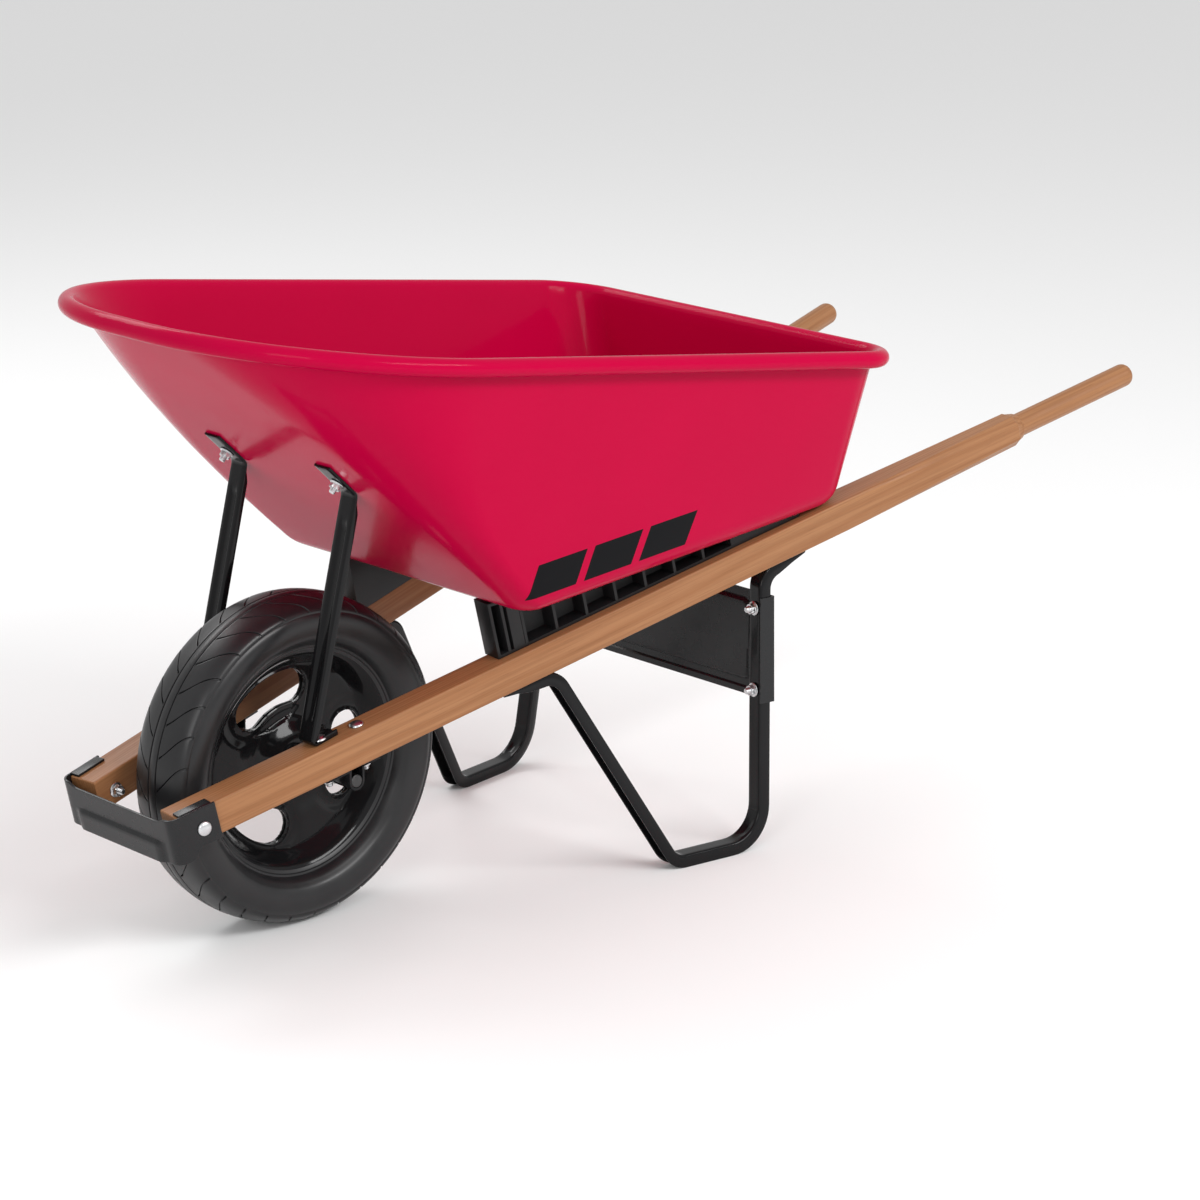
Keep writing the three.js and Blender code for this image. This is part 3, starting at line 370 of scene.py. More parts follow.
class Loft:
    """A skin grown from a first ring or line of vertices, by one extrusion for each further one."""

    def __init__(self, name: str, first: Sequence[Vector], closed: bool = True, filled: bool = False) -> None:
        """Starts the skin.

        Args:
            name: The new object's name.
            first: The first ring's points in metres.
            closed: Whether the points make a ring, not a line.
            filled: Whether the first ring gets a face.
        """
        if closed:
            deselect()
            kind = "NGON" if filled else "NOTHING"
            bpy.ops.mesh.primitive_circle_add(
                vertices=len(first), radius=MM, fill_type=kind, location=(0, 0, 0),
            )
            self.piece = named(bpy.context.object, name)
        else:
            self.piece = polyline(name, first)
        order = self.piece.data.attributes.new("order", "INT", "POINT")
        for vertex in self.piece.data.vertices:
            nearest = min(range(len(first)), key=lambda k: (vertex.co - first[k]).length)
            order.data[vertex.index].value = vertex.index if closed else nearest
        activate(self.piece)
        bpy.ops.object.mode_set(mode="EDIT")
        bpy.ops.mesh.select_mode(type="VERT")
        select_all()
        self._place(first)

    def _place(self, points: Sequence[Vector]) -> None:
        """Moves the selected vertices to their points."""
        mesh = bmesh.from_edit_mesh(self.piece.data)
        order = mesh.verts.layers.int["order"]
        for vertex in mesh.verts:
            if vertex.select:
                vertex.co = points[vertex[order]]
        bmesh.update_edit_mesh(self.piece.data)

    def grow(self, points: Sequence[Vector]) -> None:
        """Extrudes the last ring to the next one."""
        bpy.ops.mesh.extrude_edges_move()
        self._place(points)

    def finish(self, capped: bool = False) -> Piece:
        """Ends the skin.

        Args:
            capped: Whether the last ring gets a face.

        Returns:
            The finished surface with its faces outwards.
        """
        if capped:
            bpy.ops.mesh.edge_face_add()
        select_all()
        bpy.ops.mesh.normals_make_consistent(inside=False)
        bpy.ops.object.mode_set(mode="OBJECT")
        self.piece.data.attributes.remove(self.piece.data.attributes["order"])
        return self.piece


def lofted(
    name: str, rings: Sequence[Sequence[Vector]], closed: bool = True, capped: bool = False,
) -> Piece:
    """A skin through rings or lines of points.

    Args:
        name: The new object's name.
        rings: The rings' points in metres, with the same count in each.
        closed: Whether each is a ring, not a line.
        capped: Whether the first and the last ring get a face.

    Returns:
        The surface.
    """
    loft = Loft(name, rings[0], closed, filled=capped)
    for ring in rings[1:]:
        loft.grow(ring)
    return loft.finish(capped)


def mirrored(piece: Piece, name: str) -> Piece:
    """A copy on the other side of the barrow, with its own mesh.

    Args:
        piece: The right-hand piece.
        name: The new object's name.

    Returns:
        The left-hand piece.
    """
    activate(piece)
    bpy.ops.object.duplicate(linked=False)
    copy = named(bpy.context.object, name)
    with editing(copy):
        select_all()
        bpy.ops.transform.resize(value=(1, -1, 1), center_override=(0, 0, 0))
        bpy.ops.mesh.normals_make_consistent(inside=False)
    return copy


def merged_copy(node: str, name: str) -> Piece:
    """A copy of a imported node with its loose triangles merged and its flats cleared.

    Args:
        node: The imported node.
        name: The new object's name.

    Returns:
        The copy, ready for bevels.
    """
    deselect()
    bpy.ops.mesh.primitive_cube_add(size=MM)
    piece = named(bpy.context.object, name)
    piece.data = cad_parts[node].data.copy()
    piece.data.name = name
    with editing(piece):
        select_all()
        bpy.ops.mesh.remove_doubles(threshold=2e-5)
        bpy.ops.mesh.dissolve_limited(angle_limit=math.radians(1.5))
    return piece


def join_into(piece: Piece, *others: Piece) -> Piece:
    """Joins the others into the piece."""
    activate(piece)
    for other in others:
        other.select_set(True)
    bpy.ops.object.join()
    return piece


def rounded_path(corners: Sequence[Flat], radii: Sequence[float], steps: int) -> list[tuple[Flat, Flat]]:
    """The stations of a bent strap.

    Args:
        corners: The path's corners.
        radii: The bend radius at each inner corner.
        steps: The stations in each bend.

    Returns:
        A point and a heading for each station.
    """
    stations: list[tuple[Flat, Flat]] = []
    points = [Vector(corner) for corner in corners]
    for index, point in enumerate(points):
        before = (point - points[index - 1]).normalized() if index else None
        after = (points[index + 1] - point).normalized() if index + 1 < len(points) else None
        if before is None or after is None:
            heading = before or after
            stations.append(((point.x, point.y), (heading.x, heading.y)))
            continue
        turn = math.atan2(before.x * after.y - before.y * after.x, before.dot(after))
        radius = radii[index - 1]
        start = point - before * radius * math.tan(abs(turn) / 2)
        centre = start + Vector((-before.y, before.x)) * math.copysign(radius, turn)
        for step in range(steps + 1 if radius else 1):
            spin = Matrix.Rotation(turn * step / steps, 2)
            spot_here = centre + spin @ (start - centre) if radius else point
            heading = spin @ before
            stations.append(((spot_here.x, spot_here.y), (heading.x, heading.y)))
    return stations


def spread(stations: Sequence[tuple[Flat, Flat]], gap: float) -> list[tuple[Flat, Flat]]:
    """Adds stations so that none is further than a gap from the next.

    Args:
        stations: Points and headings along a path.
        gap: The widest gap in millimetres.

    Returns:
        The stations with those between them.
    """
    dense = [stations[0]]
    for (start, first), (end, last) in zip(stations, stations[1:]):
        count = max(1, math.ceil(math.dist(start, end) / gap))
        for step in range(1, count + 1):
            share = step / count
            point = tuple(a + (b - a) * share for a, b in zip(start, end))
            heading = Vector(first).lerp(Vector(last), share).normalized()
            dense.append((point, (heading.x, heading.y)))
    return dense


# ---- Finishes -----------------------------------------------------------------------------------------


class Wiring:
    """A material's node tree, built with short calls."""

    def __init__(self, name: str) -> None:
        """Starts a material with its shader.

        Args:
            name: The material's name.
        """
        self.material = bpy.data.materials.new(name)
        self.material.use_nodes = True
        self.tree = self.material.node_tree
        self.shader = self.tree.nodes["Principled BSDF"]

    def add(self, kind: str, inputs: Optional[dict] = None, **settings: object) -> bpy.types.Node:
        """Adds a node.

        Args:
            kind: The node's type without its ShaderNode prefix.
            inputs: A value or a socket for each named or numbered input.
            settings: Values for the node's properties.

        Returns:
            The node.
        """
        node = self.tree.nodes.new("ShaderNode" + kind)
        for name, value in settings.items():
            setattr(node, name, value)
        for key, value in (inputs or {}).items():
            self.feed(node.inputs[key], value)
        return node

    def feed(self, socket: Socket, value: object) -> None:
        """Links a socket or sets a value."""
        if isinstance(value, Socket):
            self.tree.links.new(value, socket)
        else:
            socket.default_value = value

    def within(self, value: Socket, low: float, high: float) -> Socket:
        """One where a value lies between two others, and zero elsewhere."""
        return self.product(self.sum("GREATER_THAN", value, low), self.sum("LESS_THAN", value, high))

    def product(self, first: Socket, *others: Socket) -> Socket:
        """The product of several values."""
        for other in others:
            first = self.sum("MULTIPLY", first, other)
        return first

    def grain(self, where: Socket, stretch: tuple, detail: float, rough: float = 0.55) -> Socket:
        """A noise drawn out by a stretch for each axis."""
        drawn = self.add("Mapping", {"Vector": where, "Scale": stretch}).outputs[0]
        return self.noise(drawn, 1, detail, rough)

    def surface(self, **inputs: object) -> None:
        """Sets the shader's inputs, with underscores for the spaces of their names."""
        for name, value in inputs.items():
            self.feed(self.shader.inputs[name.replace("_", " ")], value)

    def place(
        self, turn: tuple = (0, 0, 0), stretch: tuple = (1, 1, 1), shift: tuple = (0, 0, 0),
    ) -> Socket:
        """The object's own coordinates, turned and stretched.

        Args:
            turn: Angles about X, Y and Z.
            stretch: A scale for each axis.
            shift: A move for each axis, in metres.

        Returns:
            The coordinates' socket.
        """
        source = self.add("TexCoord").outputs["Object"]
        mapping = {"Vector": source, "Location": shift, "Rotation": turn, "Scale": stretch}
        return self.add("Mapping", mapping).outputs[0]

    def noise(self, where: Socket, scale: float, detail: float = 4, rough: float = 0.55) -> Socket:
        """Cloudy noise as a socket."""
        inputs = {"Vector": where, "Scale": scale, "Detail": detail, "Roughness": rough}
        return self.add("TexNoise", inputs).outputs[0]

    def ramp(self, source: Socket, stops: Sequence[tuple[float, tuple]]) -> Socket:
        """A colour ramp over a value.

        Args:
            source: The value's socket.
            stops: Each stop's position and colour.

        Returns:
            The colour's socket.
        """
        node = self.add("ValToRGB", {0: source})
        for index, (position, colour) in enumerate(stops):
            stop = node.color_ramp.elements[index] if index < 2 else node.color_ramp.elements.new(position)
            stop.position = position
            stop.color = (*colour, 1) if len(colour) == 3 else colour
        return node.outputs[0]

    def span(
        self, source: Socket, low: float, high: float, start: float = 0.3, end: float = 0.7,
    ) -> Socket:
        """A value stretched from start and end to low and high."""
        spread_over = {0: source, 1: start, 2: end, 3: low, 4: high}
        return self.add("MapRange", spread_over).outputs[0]

    def sum(self, kind: str, *terms: object) -> Socket:
        """A Math node's result for up to three terms."""
        return self.add("Math", dict(enumerate(terms)), operation=kind).outputs[0]

    def mix(self, share: object, first: object, second: object, kind: str = "MIX") -> Socket:
        """A mixed colour.

        Args:
            share: How much of the second is mixed in.
            first: The first colour.
            second: The second colour.
            kind: The way of mixing.

        Returns:
            The colour's socket.
        """
        node = self.add("Mix", data_type="RGBA", blend_type=kind)
        for index, value in ((0, share), (6, first), (7, second)):
            is_colour = isinstance(value, tuple) and len(value) == 3
            self.feed(node.inputs[index], (*value, 1) if is_colour else value)
        return node.outputs[2]

    def bump(
        self, height: Socket, distance: float, strength: float = 1.0, under: Optional[Socket] = None,
    ) -> Socket:
        """A bumped normal.

        Args:
            height: The height's socket.
            distance: The bump's depth in millimetres.
            strength: The bump's strength.
            under: A normal that this bump is laid over.

        Returns:
            The normal's socket.
        """
        inputs = {"Height": height, "Distance": distance * MM, "Strength": strength}
        if under is not None:
            inputs["Normal"] = under
        return self.add("Bump", inputs).outputs[0]


@dataclass(frozen=True)
class Finish:
    """A surface finish, made once as a material and then shared."""

    name: str = "finish"

    def wire(self, wiring: Wiring) -> None:
        """Builds the material's nodes."""
        raise NotImplementedError

    def material(self) -> bpy.types.Material:
        """The finish's material."""
        found = bpy.data.materials.get(self.name)
        if found is None:
            wiring = Wiring(self.name)
            self.wire(wiring)
            found = wiring.material
        return found

    def dress(self, piece: Piece) -> None:
        """Puts the material on a piece, in place of any other."""
        piece.data.materials.clear()
        piece.data.materials.append(self.material())


@dataclass(frozen=True)
class GlossPaint(Finish):
    """Baked enamel: a slight ripple under a clear gloss, and dust that dulls it in patches."""

    colour: tuple = (0.005, 0.005, 0.0055)
    worn: tuple = (0.011, 0.011, 0.012)
    roughness: Flat = (0.12, 0.24)
    ripple: float = 0.02
    coat: float = 0.16
    shine: float = 0.12

    def base(self, wiring: Wiring) -> Socket:
        """The paint's own colour with faint clouds."""
        clouds = wiring.noise(wiring.place(), 6, 5)
        return wiring.mix(wiring.span(clouds, 0.0, 0.5), self.colour, self.worn)

    def wire(self, wiring: Wiring) -> None:
        """Builds the enamel."""
        where = wiring.place()
        dust = wiring.noise(where, 22, 6, 0.6)
        peel = wiring.noise(where, 190, 2, 0.5)
        dents = wiring.noise(where, 5, 1, 0.3)
        normal = wiring.bump(dents, 1.0, 0.25)
        normal = wiring.bump(peel, self.ripple, 1.0, normal)
        wiring.surface(
            Base_Color=self.base(wiring), Roughness=wiring.span(dust, *self.roughness), Normal=normal,
            Metallic=0.0, Specular_IOR_Level=self.shine, Coat_Weight=self.coat, Coat_Roughness=0.05,
        )


@dataclass(frozen=True)
class TrayPaint(GlossPaint):
    """The tray's enamel, with three plain slanted bars printed low on each side wall."""

    colour: tuple = (0.47, 0.0006, 0.041)
    worn: tuple = (0.43, 0.0006, 0.036)
    coat: float = 0.05
    shine: float = 0.03
    print_start: float = 180.0
    print_end: float = 452.0
    print_low: float = 409.0
    print_high: float = 452.0
    print_rise: float = 0.077
    slant: float = 0.26
    bars: int = 3
    bar: float = 0.86
    outward: float = 0.05
    ink: tuple = (0.006, 0.006, 0.007)

    def base(self, wiring: Wiring) -> Socket:
        """The enamel with the printed bars over it."""
        paint = super().base(wiring)
        parts = wiring.add("SeparateXYZ", {0: wiring.add("TexCoord").outputs["Object"]}).outputs
        start = AXLE.x + self.print_start * MM
        low, high = self.print_low * MM, self.print_high * MM
        aft = wiring.sum("SUBTRACT", parts[0], start)
        height = wiring.sum("MULTIPLY_ADD", aft, -self.print_rise, parts[2])
        leaned = wiring.sum("MULTIPLY_ADD", wiring.sum("SUBTRACT", height, low), -self.slant, parts[0])
        each = (self.print_end - self.print_start) * MM / self.bars
        share = wiring.sum("DIVIDE", wiring.sum("SUBTRACT", leaned, start), each)
        facing = wiring.add("SeparateXYZ", {0: wiring.add("NewGeometry").outputs["Normal"]}).outputs[1]
        mask = wiring.product(
            wiring.within(share, 0.0, float(self.bars)),
            wiring.sum("LESS_THAN", wiring.sum("FRACT", share), self.bar),
            wiring.within(height, low, high),
            wiring.sum("GREATER_THAN", wiring.sum("MULTIPLY", facing, parts[1]), self.outward),
        )
        return wiring.mix(mask, paint, self.ink)


@dataclass(frozen=True)
class SatinPaint(Finish):
    """Powder coat: charcoal with a fine pebble."""

    colour: tuple = (0.008, 0.0082, 0.009)

    def wire(self, wiring: Wiring) -> None:
        """Builds the powder coat."""
        where = wiring.place()
        pebble = wiring.noise(where, 700, 2, 0.5)
        dust = wiring.noise(where, 30, 5)
        tone = tuple(1.8 * part for part in self.colour)
        wiring.surface(
            Base_Color=wiring.mix(wiring.span(dust, 0.0, 0.5), self.colour, tone),
            Roughness=wiring.span(dust, 0.22, 0.34), Normal=wiring.bump(pebble, 0.015), Metallic=0.0,
            Specular_IOR_Level=0.35,
        )


@dataclass(frozen=True)
class Timber(Finish):
    """Planed hardwood under a thin varnish, with its grain along one handle."""

    side: Side = Side.RIGHT
    light: tuple = (0.375, 0.178, 0.078)
    warm: tuple = (0.30, 0.128, 0.050)
    dark: tuple = (0.155, 0.060, 0.022)

    def wire(self, wiring: Wiring) -> None:
        """Builds the growth rings, the fibres and the pores along the handle."""
        turn = Matrix((RAIL.along, RAIL.out, RAIL.up))
        if self.side is Side.LEFT:
            turn = turn @ Matrix.Diagonal((1, -1, 1))
            turn.row[1] = -turn.row[1]
        angles = tuple(turn.to_euler("XYZ"))
        straight = wiring.place(turn=angles)
        warp = wiring.grain(straight, (2.2, 9, 9), 3)
        rings = wiring.add(
            "TexWave", {
                "Vector": wiring.add("Mapping", {
                    "Vector": straight, "Scale": (1.2, 34, 22), "Rotation": (0.35, 0.02, 0.03),
                }).outputs[0],
                "Scale": 1.0, "Distortion": 5.5, "Detail": 3.0, "Detail Scale": 0.7, "Detail Roughness": 0.55,
            }, wave_type="BANDS", bands_direction="Y",
        ).outputs["Fac"]
        fibre = wiring.grain(straight, (6, 420, 420), 5, 0.65)
        pores = wiring.grain(straight, (26, 900, 900), 2, 0.5)
        ringed = wiring.ramp(rings, [(0.0, self.light), (0.55, self.warm), (1.0, self.light)])
        clouded = wiring.mix(wiring.span(warp, 0.0, 0.55), ringed, self.warm)
        lined = wiring.mix(wiring.span(fibre, 0.0, 0.5, 0.42, 0.75), clouded, self.dark)
        pored = wiring.mix(wiring.span(pores, 0.0, 0.45, 0.62, 0.75), lined, self.dark)
        normal = wiring.bump(fibre, 0.12, 0.6)
        wiring.surface(
            Base_Color=pored, Roughness=wiring.span(fibre, 0.36, 0.52), Normal=normal,
            Metallic=0.0, Specular_IOR_Level=0.25, Coat_Weight=0.06, Coat_Roughness=0.25,
        )


@dataclass(frozen=True)
class Zinc(Finish):
    """Bright zinc plate with a faint crystal bloom."""

    def wire(self, wiring: Wiring) -> None:
        """Builds the plate."""
        where = wiring.place()
        bloom = wiring.add("TexVoronoi", {"Vector": where, "Scale": 420.0}).outputs["Distance"]
        smear = wiring.noise(where, 60, 5)
        wiring.surface(
            Base_Color=wiring.mix(wiring.span(smear, 0.0, 0.6), (0.78, 0.79, 0.8), (0.52, 0.53, 0.55)),
            Metallic=1.0, Roughness=wiring.span(smear, 0.2, 0.38), Normal=wiring.bump(bloom, 0.02, 0.5),
        )


@dataclass(frozen=True)
class TurnedSteel(Finish):
    """Steel turned about the axle, with fine rings and a film of grease."""

    tone: tuple = (0.5, 0.49, 0.47)

    def wire(self, wiring: Wiring) -> None:
        """Builds the turned steel."""
        where = wiring.place(stretch=(1, 40, 1))
        marks = wiring.noise(where, 55, 4)
        film = wiring.noise(wiring.place(), 40, 5)
        dull = tuple(0.45 * part for part in self.tone)
        wiring.surface(
            Base_Color=wiring.mix(wiring.span(film, 0.0, 0.7), self.tone, dull),
            Metallic=1.0, Roughness=wiring.span(marks, 0.28, 0.5), Normal=wiring.bump(marks, 0.02, 0.6),
        )


@dataclass(frozen=True)
class TyreRubber(Finish):
    """Black rubber with a soft sheen, a fine grain and a little dust."""

    def wire(self, wiring: Wiring) -> None:
        """Builds the rubber."""
        where = wiring.place()
        grain = wiring.noise(where, 900, 3, 0.6)
        dust = wiring.noise(where, 26, 6, 0.6)
        wiring.surface(
            Base_Color=wiring.mix(wiring.span(dust, 0.0, 0.5), (0.008, 0.008, 0.009), (0.018, 0.018, 0.019)),
            Metallic=0.0, Roughness=wiring.span(dust, 0.3, 0.42), Normal=wiring.bump(grain, 0.03, 0.6),
            Specular_IOR_Level=0.45,
        )


@dataclass(frozen=True)
class Moulding(Finish):
    """Black moulded plastic with a fine spark-eroded grain."""

    def wire(self, wiring: Wiring) -> None:
        """Builds the plastic."""
        where = wiring.place()
        grain = wiring.noise(where, 1100, 2, 0.5)
        flow = wiring.noise(where, 14, 4)
        wiring.surface(
            Base_Color=wiring.mix(wiring.span(flow, 0.0, 0.6), (0.007, 0.007, 0.0075), (0.014, 0.014, 0.015)),
            Metallic=0.0, Roughness=wiring.span(flow, 0.36, 0.48), Normal=wiring.bump(grain, 0.03, 0.7),
            Specular_IOR_Level=0.35,
        )


TRAY_PAINT = TrayPaint("crimson enamel")
BLACK_PAINT = GlossPaint("black enamel")
RIM_PAINT = GlossPaint("rim enamel", roughness=(0.08, 0.16))
CHARCOAL = SatinPaint("charcoal powder coat")
TIMBER = {side: Timber(f"handle timber {side.word}", side) for side in Side}
ZINC = Zinc("zinc plate")
STEEL = TurnedSteel("turned steel")
DARK_STEEL = TurnedSteel("oiled steel", (0.10, 0.10, 0.10))
BRONZE = TurnedSteel("sintered bronze", (0.42, 0.3, 0.16))
RUBBER = TyreRubber("tyre rubber")
PLASTIC = Moulding("riser plastic")


def fit_out(piece: Piece, body: Body, slot: str, finish: Finish, *nodes: str) -> Piece:
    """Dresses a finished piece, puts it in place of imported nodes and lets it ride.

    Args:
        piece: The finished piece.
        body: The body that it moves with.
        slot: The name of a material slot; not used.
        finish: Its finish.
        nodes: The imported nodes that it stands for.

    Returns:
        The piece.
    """
    settle(piece)
    finish.dress(piece)
    if nodes:
        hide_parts(*nodes)
    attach(piece, body.value)
    LOG.info("%s: %d faces on %s", piece.name, len(piece.data.polygons), body.value)
    return piece


def fit_pair(piece: Piece, body: Body, slot: str, finish: Finish | dict, node: str) -> None:
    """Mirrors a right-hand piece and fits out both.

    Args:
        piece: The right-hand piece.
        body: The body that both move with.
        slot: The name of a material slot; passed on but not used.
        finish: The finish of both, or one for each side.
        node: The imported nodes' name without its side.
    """
    pair = {Side.LEFT: mirrored(piece, piece.name + "_left"), Side.RIGHT: named(piece, piece.name + "_right")}
    for side, half in pair.items():
        own = finish[side] if isinstance(finish, dict) else finish
        fit_out(half, body, slot, own, f"{node}_{side.word}")


# ---- Tray ---------------------------------------------------------------------------------------------


@dataclass
class Tray:
    """The pressed tray: a flat floor, sloping walls with widening corners, and a rolled rim."""

    sheet: float = 1.8
    floor_front: float = 190.0
    floor_rear: float = 735.0
    floor_half: float = 226.0
    floor_z: float = 384.0
    floor_pitch: float = math.radians(4.4)
    floor_front_corner: float = 32.0
    floor_rear_corner: float = 45.0
    fillet: float = 28.0
    rim_front: float = -213.0
    rim_rear: float = 755.0
    rim_half: float = 302.0
    rim_z: float = 729.7
    rim_pitch: float = math.radians(8.1)
    rim_front_corner: float = 275.0
    rim_rear_corner: float = 72.0
    corner_power: float = 1.9
    bead: float = 11.0
    bead_end: float = math.radians(-105)

    def outline(self, front: float, rear: float, half: float, nose: float, tail: float) -> list[tuple]:
        """A rounded outline all the way round.

        Args:
            front: The front edge's place along X.
            rear: The rear edge's place along X.
            half: Half the width.
            nose: The front corners' radius.
            tail: The rear corners' radius.

        Returns:
            X, Y, the outward direction and the pull of each point, from the front's middle round the right
            side. The pull says how a point of the wall moves where the front corners are tighter.
        """
        points = []
        flat, start, end = half - nose, front + nose, rear - tail
        points += [(front, flat * k / 4, math.pi, (0.0, k / 4)) for k in range(4)]
        for k in range(29):
            turn = math.pi - k * math.pi / 56
            pull = (1 + math.cos(turn), 1 - math.sin(turn))
            points.append((start + nose * math.cos(turn), flat + nose * math.sin(turn), turn, pull))
        points += [(start + (end - start) * k / 8, half, math.pi / 2, (1 - k / 8, 0.0)) for k in range(1, 8)]
        for k in range(15):
            turn = math.pi / 2 - k * math.pi / 28
            points.append((end + tail * math.cos(turn), half - tail * (1 - math.sin(turn)), turn, (0.0, 0.0)))
        points += [(rear, (half - tail) * (1 - k / 4), 0.0, (0.0, 0.0)) for k in range(1, 5)]
        other = [(x, -y, -turn, (ahead, -aside)) for x, y, turn, (ahead, aside) in reversed(points[1:-1])]
        return points + other

    def column(self, low: tuple, high: tuple) -> list[Vector]:
        """One column of the inner face, from the floor's edge over the rolled rim.

        Args:
            low: The floor outline's point, direction and pull.
            high: The rim outline's point, direction and pull.

        Returns:
            The column's points in millimetres.
        """
        slope = math.tan(self.floor_pitch)

        def on_floor(x: float, y: float) -> Vector:
            """A point of the floor's upper face."""
            rise = (x - self.floor_front) * slope + self.sheet / math.cos(self.floor_pitch)
            return Vector((x, y, self.floor_z + rise))

        foot = on_floor(low[0], low[1])
        bead = Vector((high[0], high[1], self.rim_z - high[0] * math.tan(self.rim_pitch)))
        outward = Vector((math.cos(high[2]), math.sin(high[2]), 0))
        climb = bead - foot
        lean = math.atan2(climb.dot(outward), climb.z)
        inward = -outward * math.cos(lean) + Vector((0, 0, math.sin(lean)))
        head = bead + inward * self.bead
        start = on_floor(low[0] - math.cos(low[2]) * self.fillet, low[1] - math.sin(low[2]) * self.fillet)
        first_share = self.fillet / (head - foot).length

        def on_wall(share: float) -> Vector:
            """A point of the wall at a share of the way up."""
            lag = (self.rim_front_corner - self.floor_front_corner) * (share ** self.corner_power - share)
            return foot.lerp(head, share) + Vector((lag * low[3][0], -lag * low[3][1], 0))

        end = on_wall(first_share)
        points = []
        for k in range(9):
            t = k / 8
            points.append(start * (1 - t) ** 2 + foot * 2 * t * (1 - t) + end * t * t)
        points += [on_wall(first_share + (1 - first_share) * k / 14) for k in range(1, 14)]
        first = math.pi - lean
        for k in range(17):
            turn = first + (self.bead_end - first) * k / 16
            climb = Vector((0, 0, self.bead * math.sin(turn)))
            points.append(bead + outward * self.bead * math.cos(turn) + climb)
        return points

    def build(self) -> Piece:
        """Grows the tray's skin ring by ring from its floor, and gives it the sheet's thickness."""
        low = self.outline(
            self.floor_front, self.floor_rear, self.floor_half,
            self.floor_front_corner, self.floor_rear_corner,
        )
        high = self.outline(
            self.rim_front, self.rim_rear, self.rim_half, self.rim_front_corner, self.rim_rear_corner,
        )
        columns = [self.column(a, b) for a, b in zip(low, high)]
        rings = [[spot(*column[level]) for column in columns] for level in range(len(columns[0]))]
        loft = Loft("tray_shell", rings[0], closed=True, filled=True)
        for ring in rings[1:]:
            loft.grow(ring)
        shell = loft.finish()
        face_towards(shell, spot(450, 0, 405), 60, Vector((0, 0, 1)))
        thicken(shell, self.sheet)
        shade(shell, 50)
        return shell

    def make(self) -> None:
        """Builds and fits out the tray."""
        fit_out(self.build(), Body.FRAME, "tray_paint", TRAY_PAINT, "tray")


# ---- Wheel --------------------------------------------------------------------------------------------


@dataclass
class Tyre:
    """The broad tyre: a ribbed crown, slanted side grooves and a smooth banded wall."""

    steps: int = 224
    pitch: int = 7
    groove: float = 0.012
    groove_width: float = 1.1
    skew: float = math.radians(11)
    straight: float = 2.0
    shoulder: float = 50.0
    crown_radius: float = 187.6
    rib: float = 8.2
    bevel: float = 0.5
    section: tuple = (
        (124.0, 8.0), (128.0, 20.0), (137.0, 28.4), (143.2, 30.6), (144.4, 33.0), (147.0, 37.2),
        (150.0, 40.6), (152.2, 42.2), (153.6, 43.9), (157.0, 46.0), (162.0, 48.0), (168.0, 49.3),
        (174.0, 49.8), (180.0, 49.2), (184.5, 47.7), (186.2, 46.3), (187.4, 46.4), (189.4, 46.2),
        (192.4, 43.6), (195.4, 39.6), (197.8, 34.6),
        (199.6, 28.8), (201.0, 22.0), (202.0, 15.6), (202.6, 9.4), (202.8, 7.9), (200.2, 7.3), (200.2, 5.9),
        (202.9, 5.3), (203.2, 0.0),
    )

    def build(self) -> Piece:
        """Spins the section, twists the crown so that its grid slants, and sinks the grooves."""
        outer = list(self.section)
        profile = outer + [(radius, -width) for radius, width in reversed(outer[:-1])]
        profile.append(profile[0])
        axis = Vector((0, 1, 0))
        tyre = spun("tyre_tread", profile, AXLE, axis, self.steps)
        with editing(tyre):
            mesh = bmesh.from_edit_mesh(tyre.data)
            for vertex in mesh.verts:
                width = abs(vertex.co.y) / MM
                spin = Matrix.Rotation(self.slant_at(width), 3, "Y")
                vertex.co = AXLE + spin @ (vertex.co - AXLE)
            bmesh.update_edit_mesh(tyre.data)
            self.sink_grooves(tyre)
        modify(
            tyre, "BEVEL", width=self.bevel * MM, segments=2, limit_method="ANGLE",
            angle_limit=math.radians(50), use_clamp_overlap=True,
        )
        shade(tyre, 42)
        return tyre

    def slant_at(self, width: float) -> float:
        """How far the grid is turned at a distance from the tyre's middle."""
        return self.skew * smooth(width, self.straight, self.shoulder)

    def sink_grooves(self, tyre: Piece) -> None:
        """Picks every so many columns of the crown on each side and presses them in."""
        step = 2 * math.pi / self.steps

        def in_groove(where: Vector, normal: Vector) -> bool:
            """Whether a crown face lies in a slanted groove."""
            arm = where - AXLE
            width = abs(arm.y) / MM
            radius = math.hypot(arm.x, arm.z) / MM
            if radius < self.crown_radius or width < self.rib:
                return False
            turn = math.atan2(arm.x, arm.z) - self.slant_at(width)
            column = round((turn / step) - 0.5) % self.steps
            return (column + (self.pitch // 2 if arm.y > 0 else 0)) % self.pitch == 0

        pick_faces(tyre, in_groove)
        bpy.ops.mesh.inset(thickness=self.groove_width * MM, depth=0, use_boundary=True)
        bpy.ops.mesh.extrude_region()
        shrink = 1 - self.groove
        bpy.ops.transform.resize(value=(shrink, 1, shrink), center_override=AXLE)

    def make(self) -> None:
        """Builds and fits out the tyre."""
        fit_out(self.build(), Body.WHEEL, "tyre_rubber", RUBBER, "tyre")


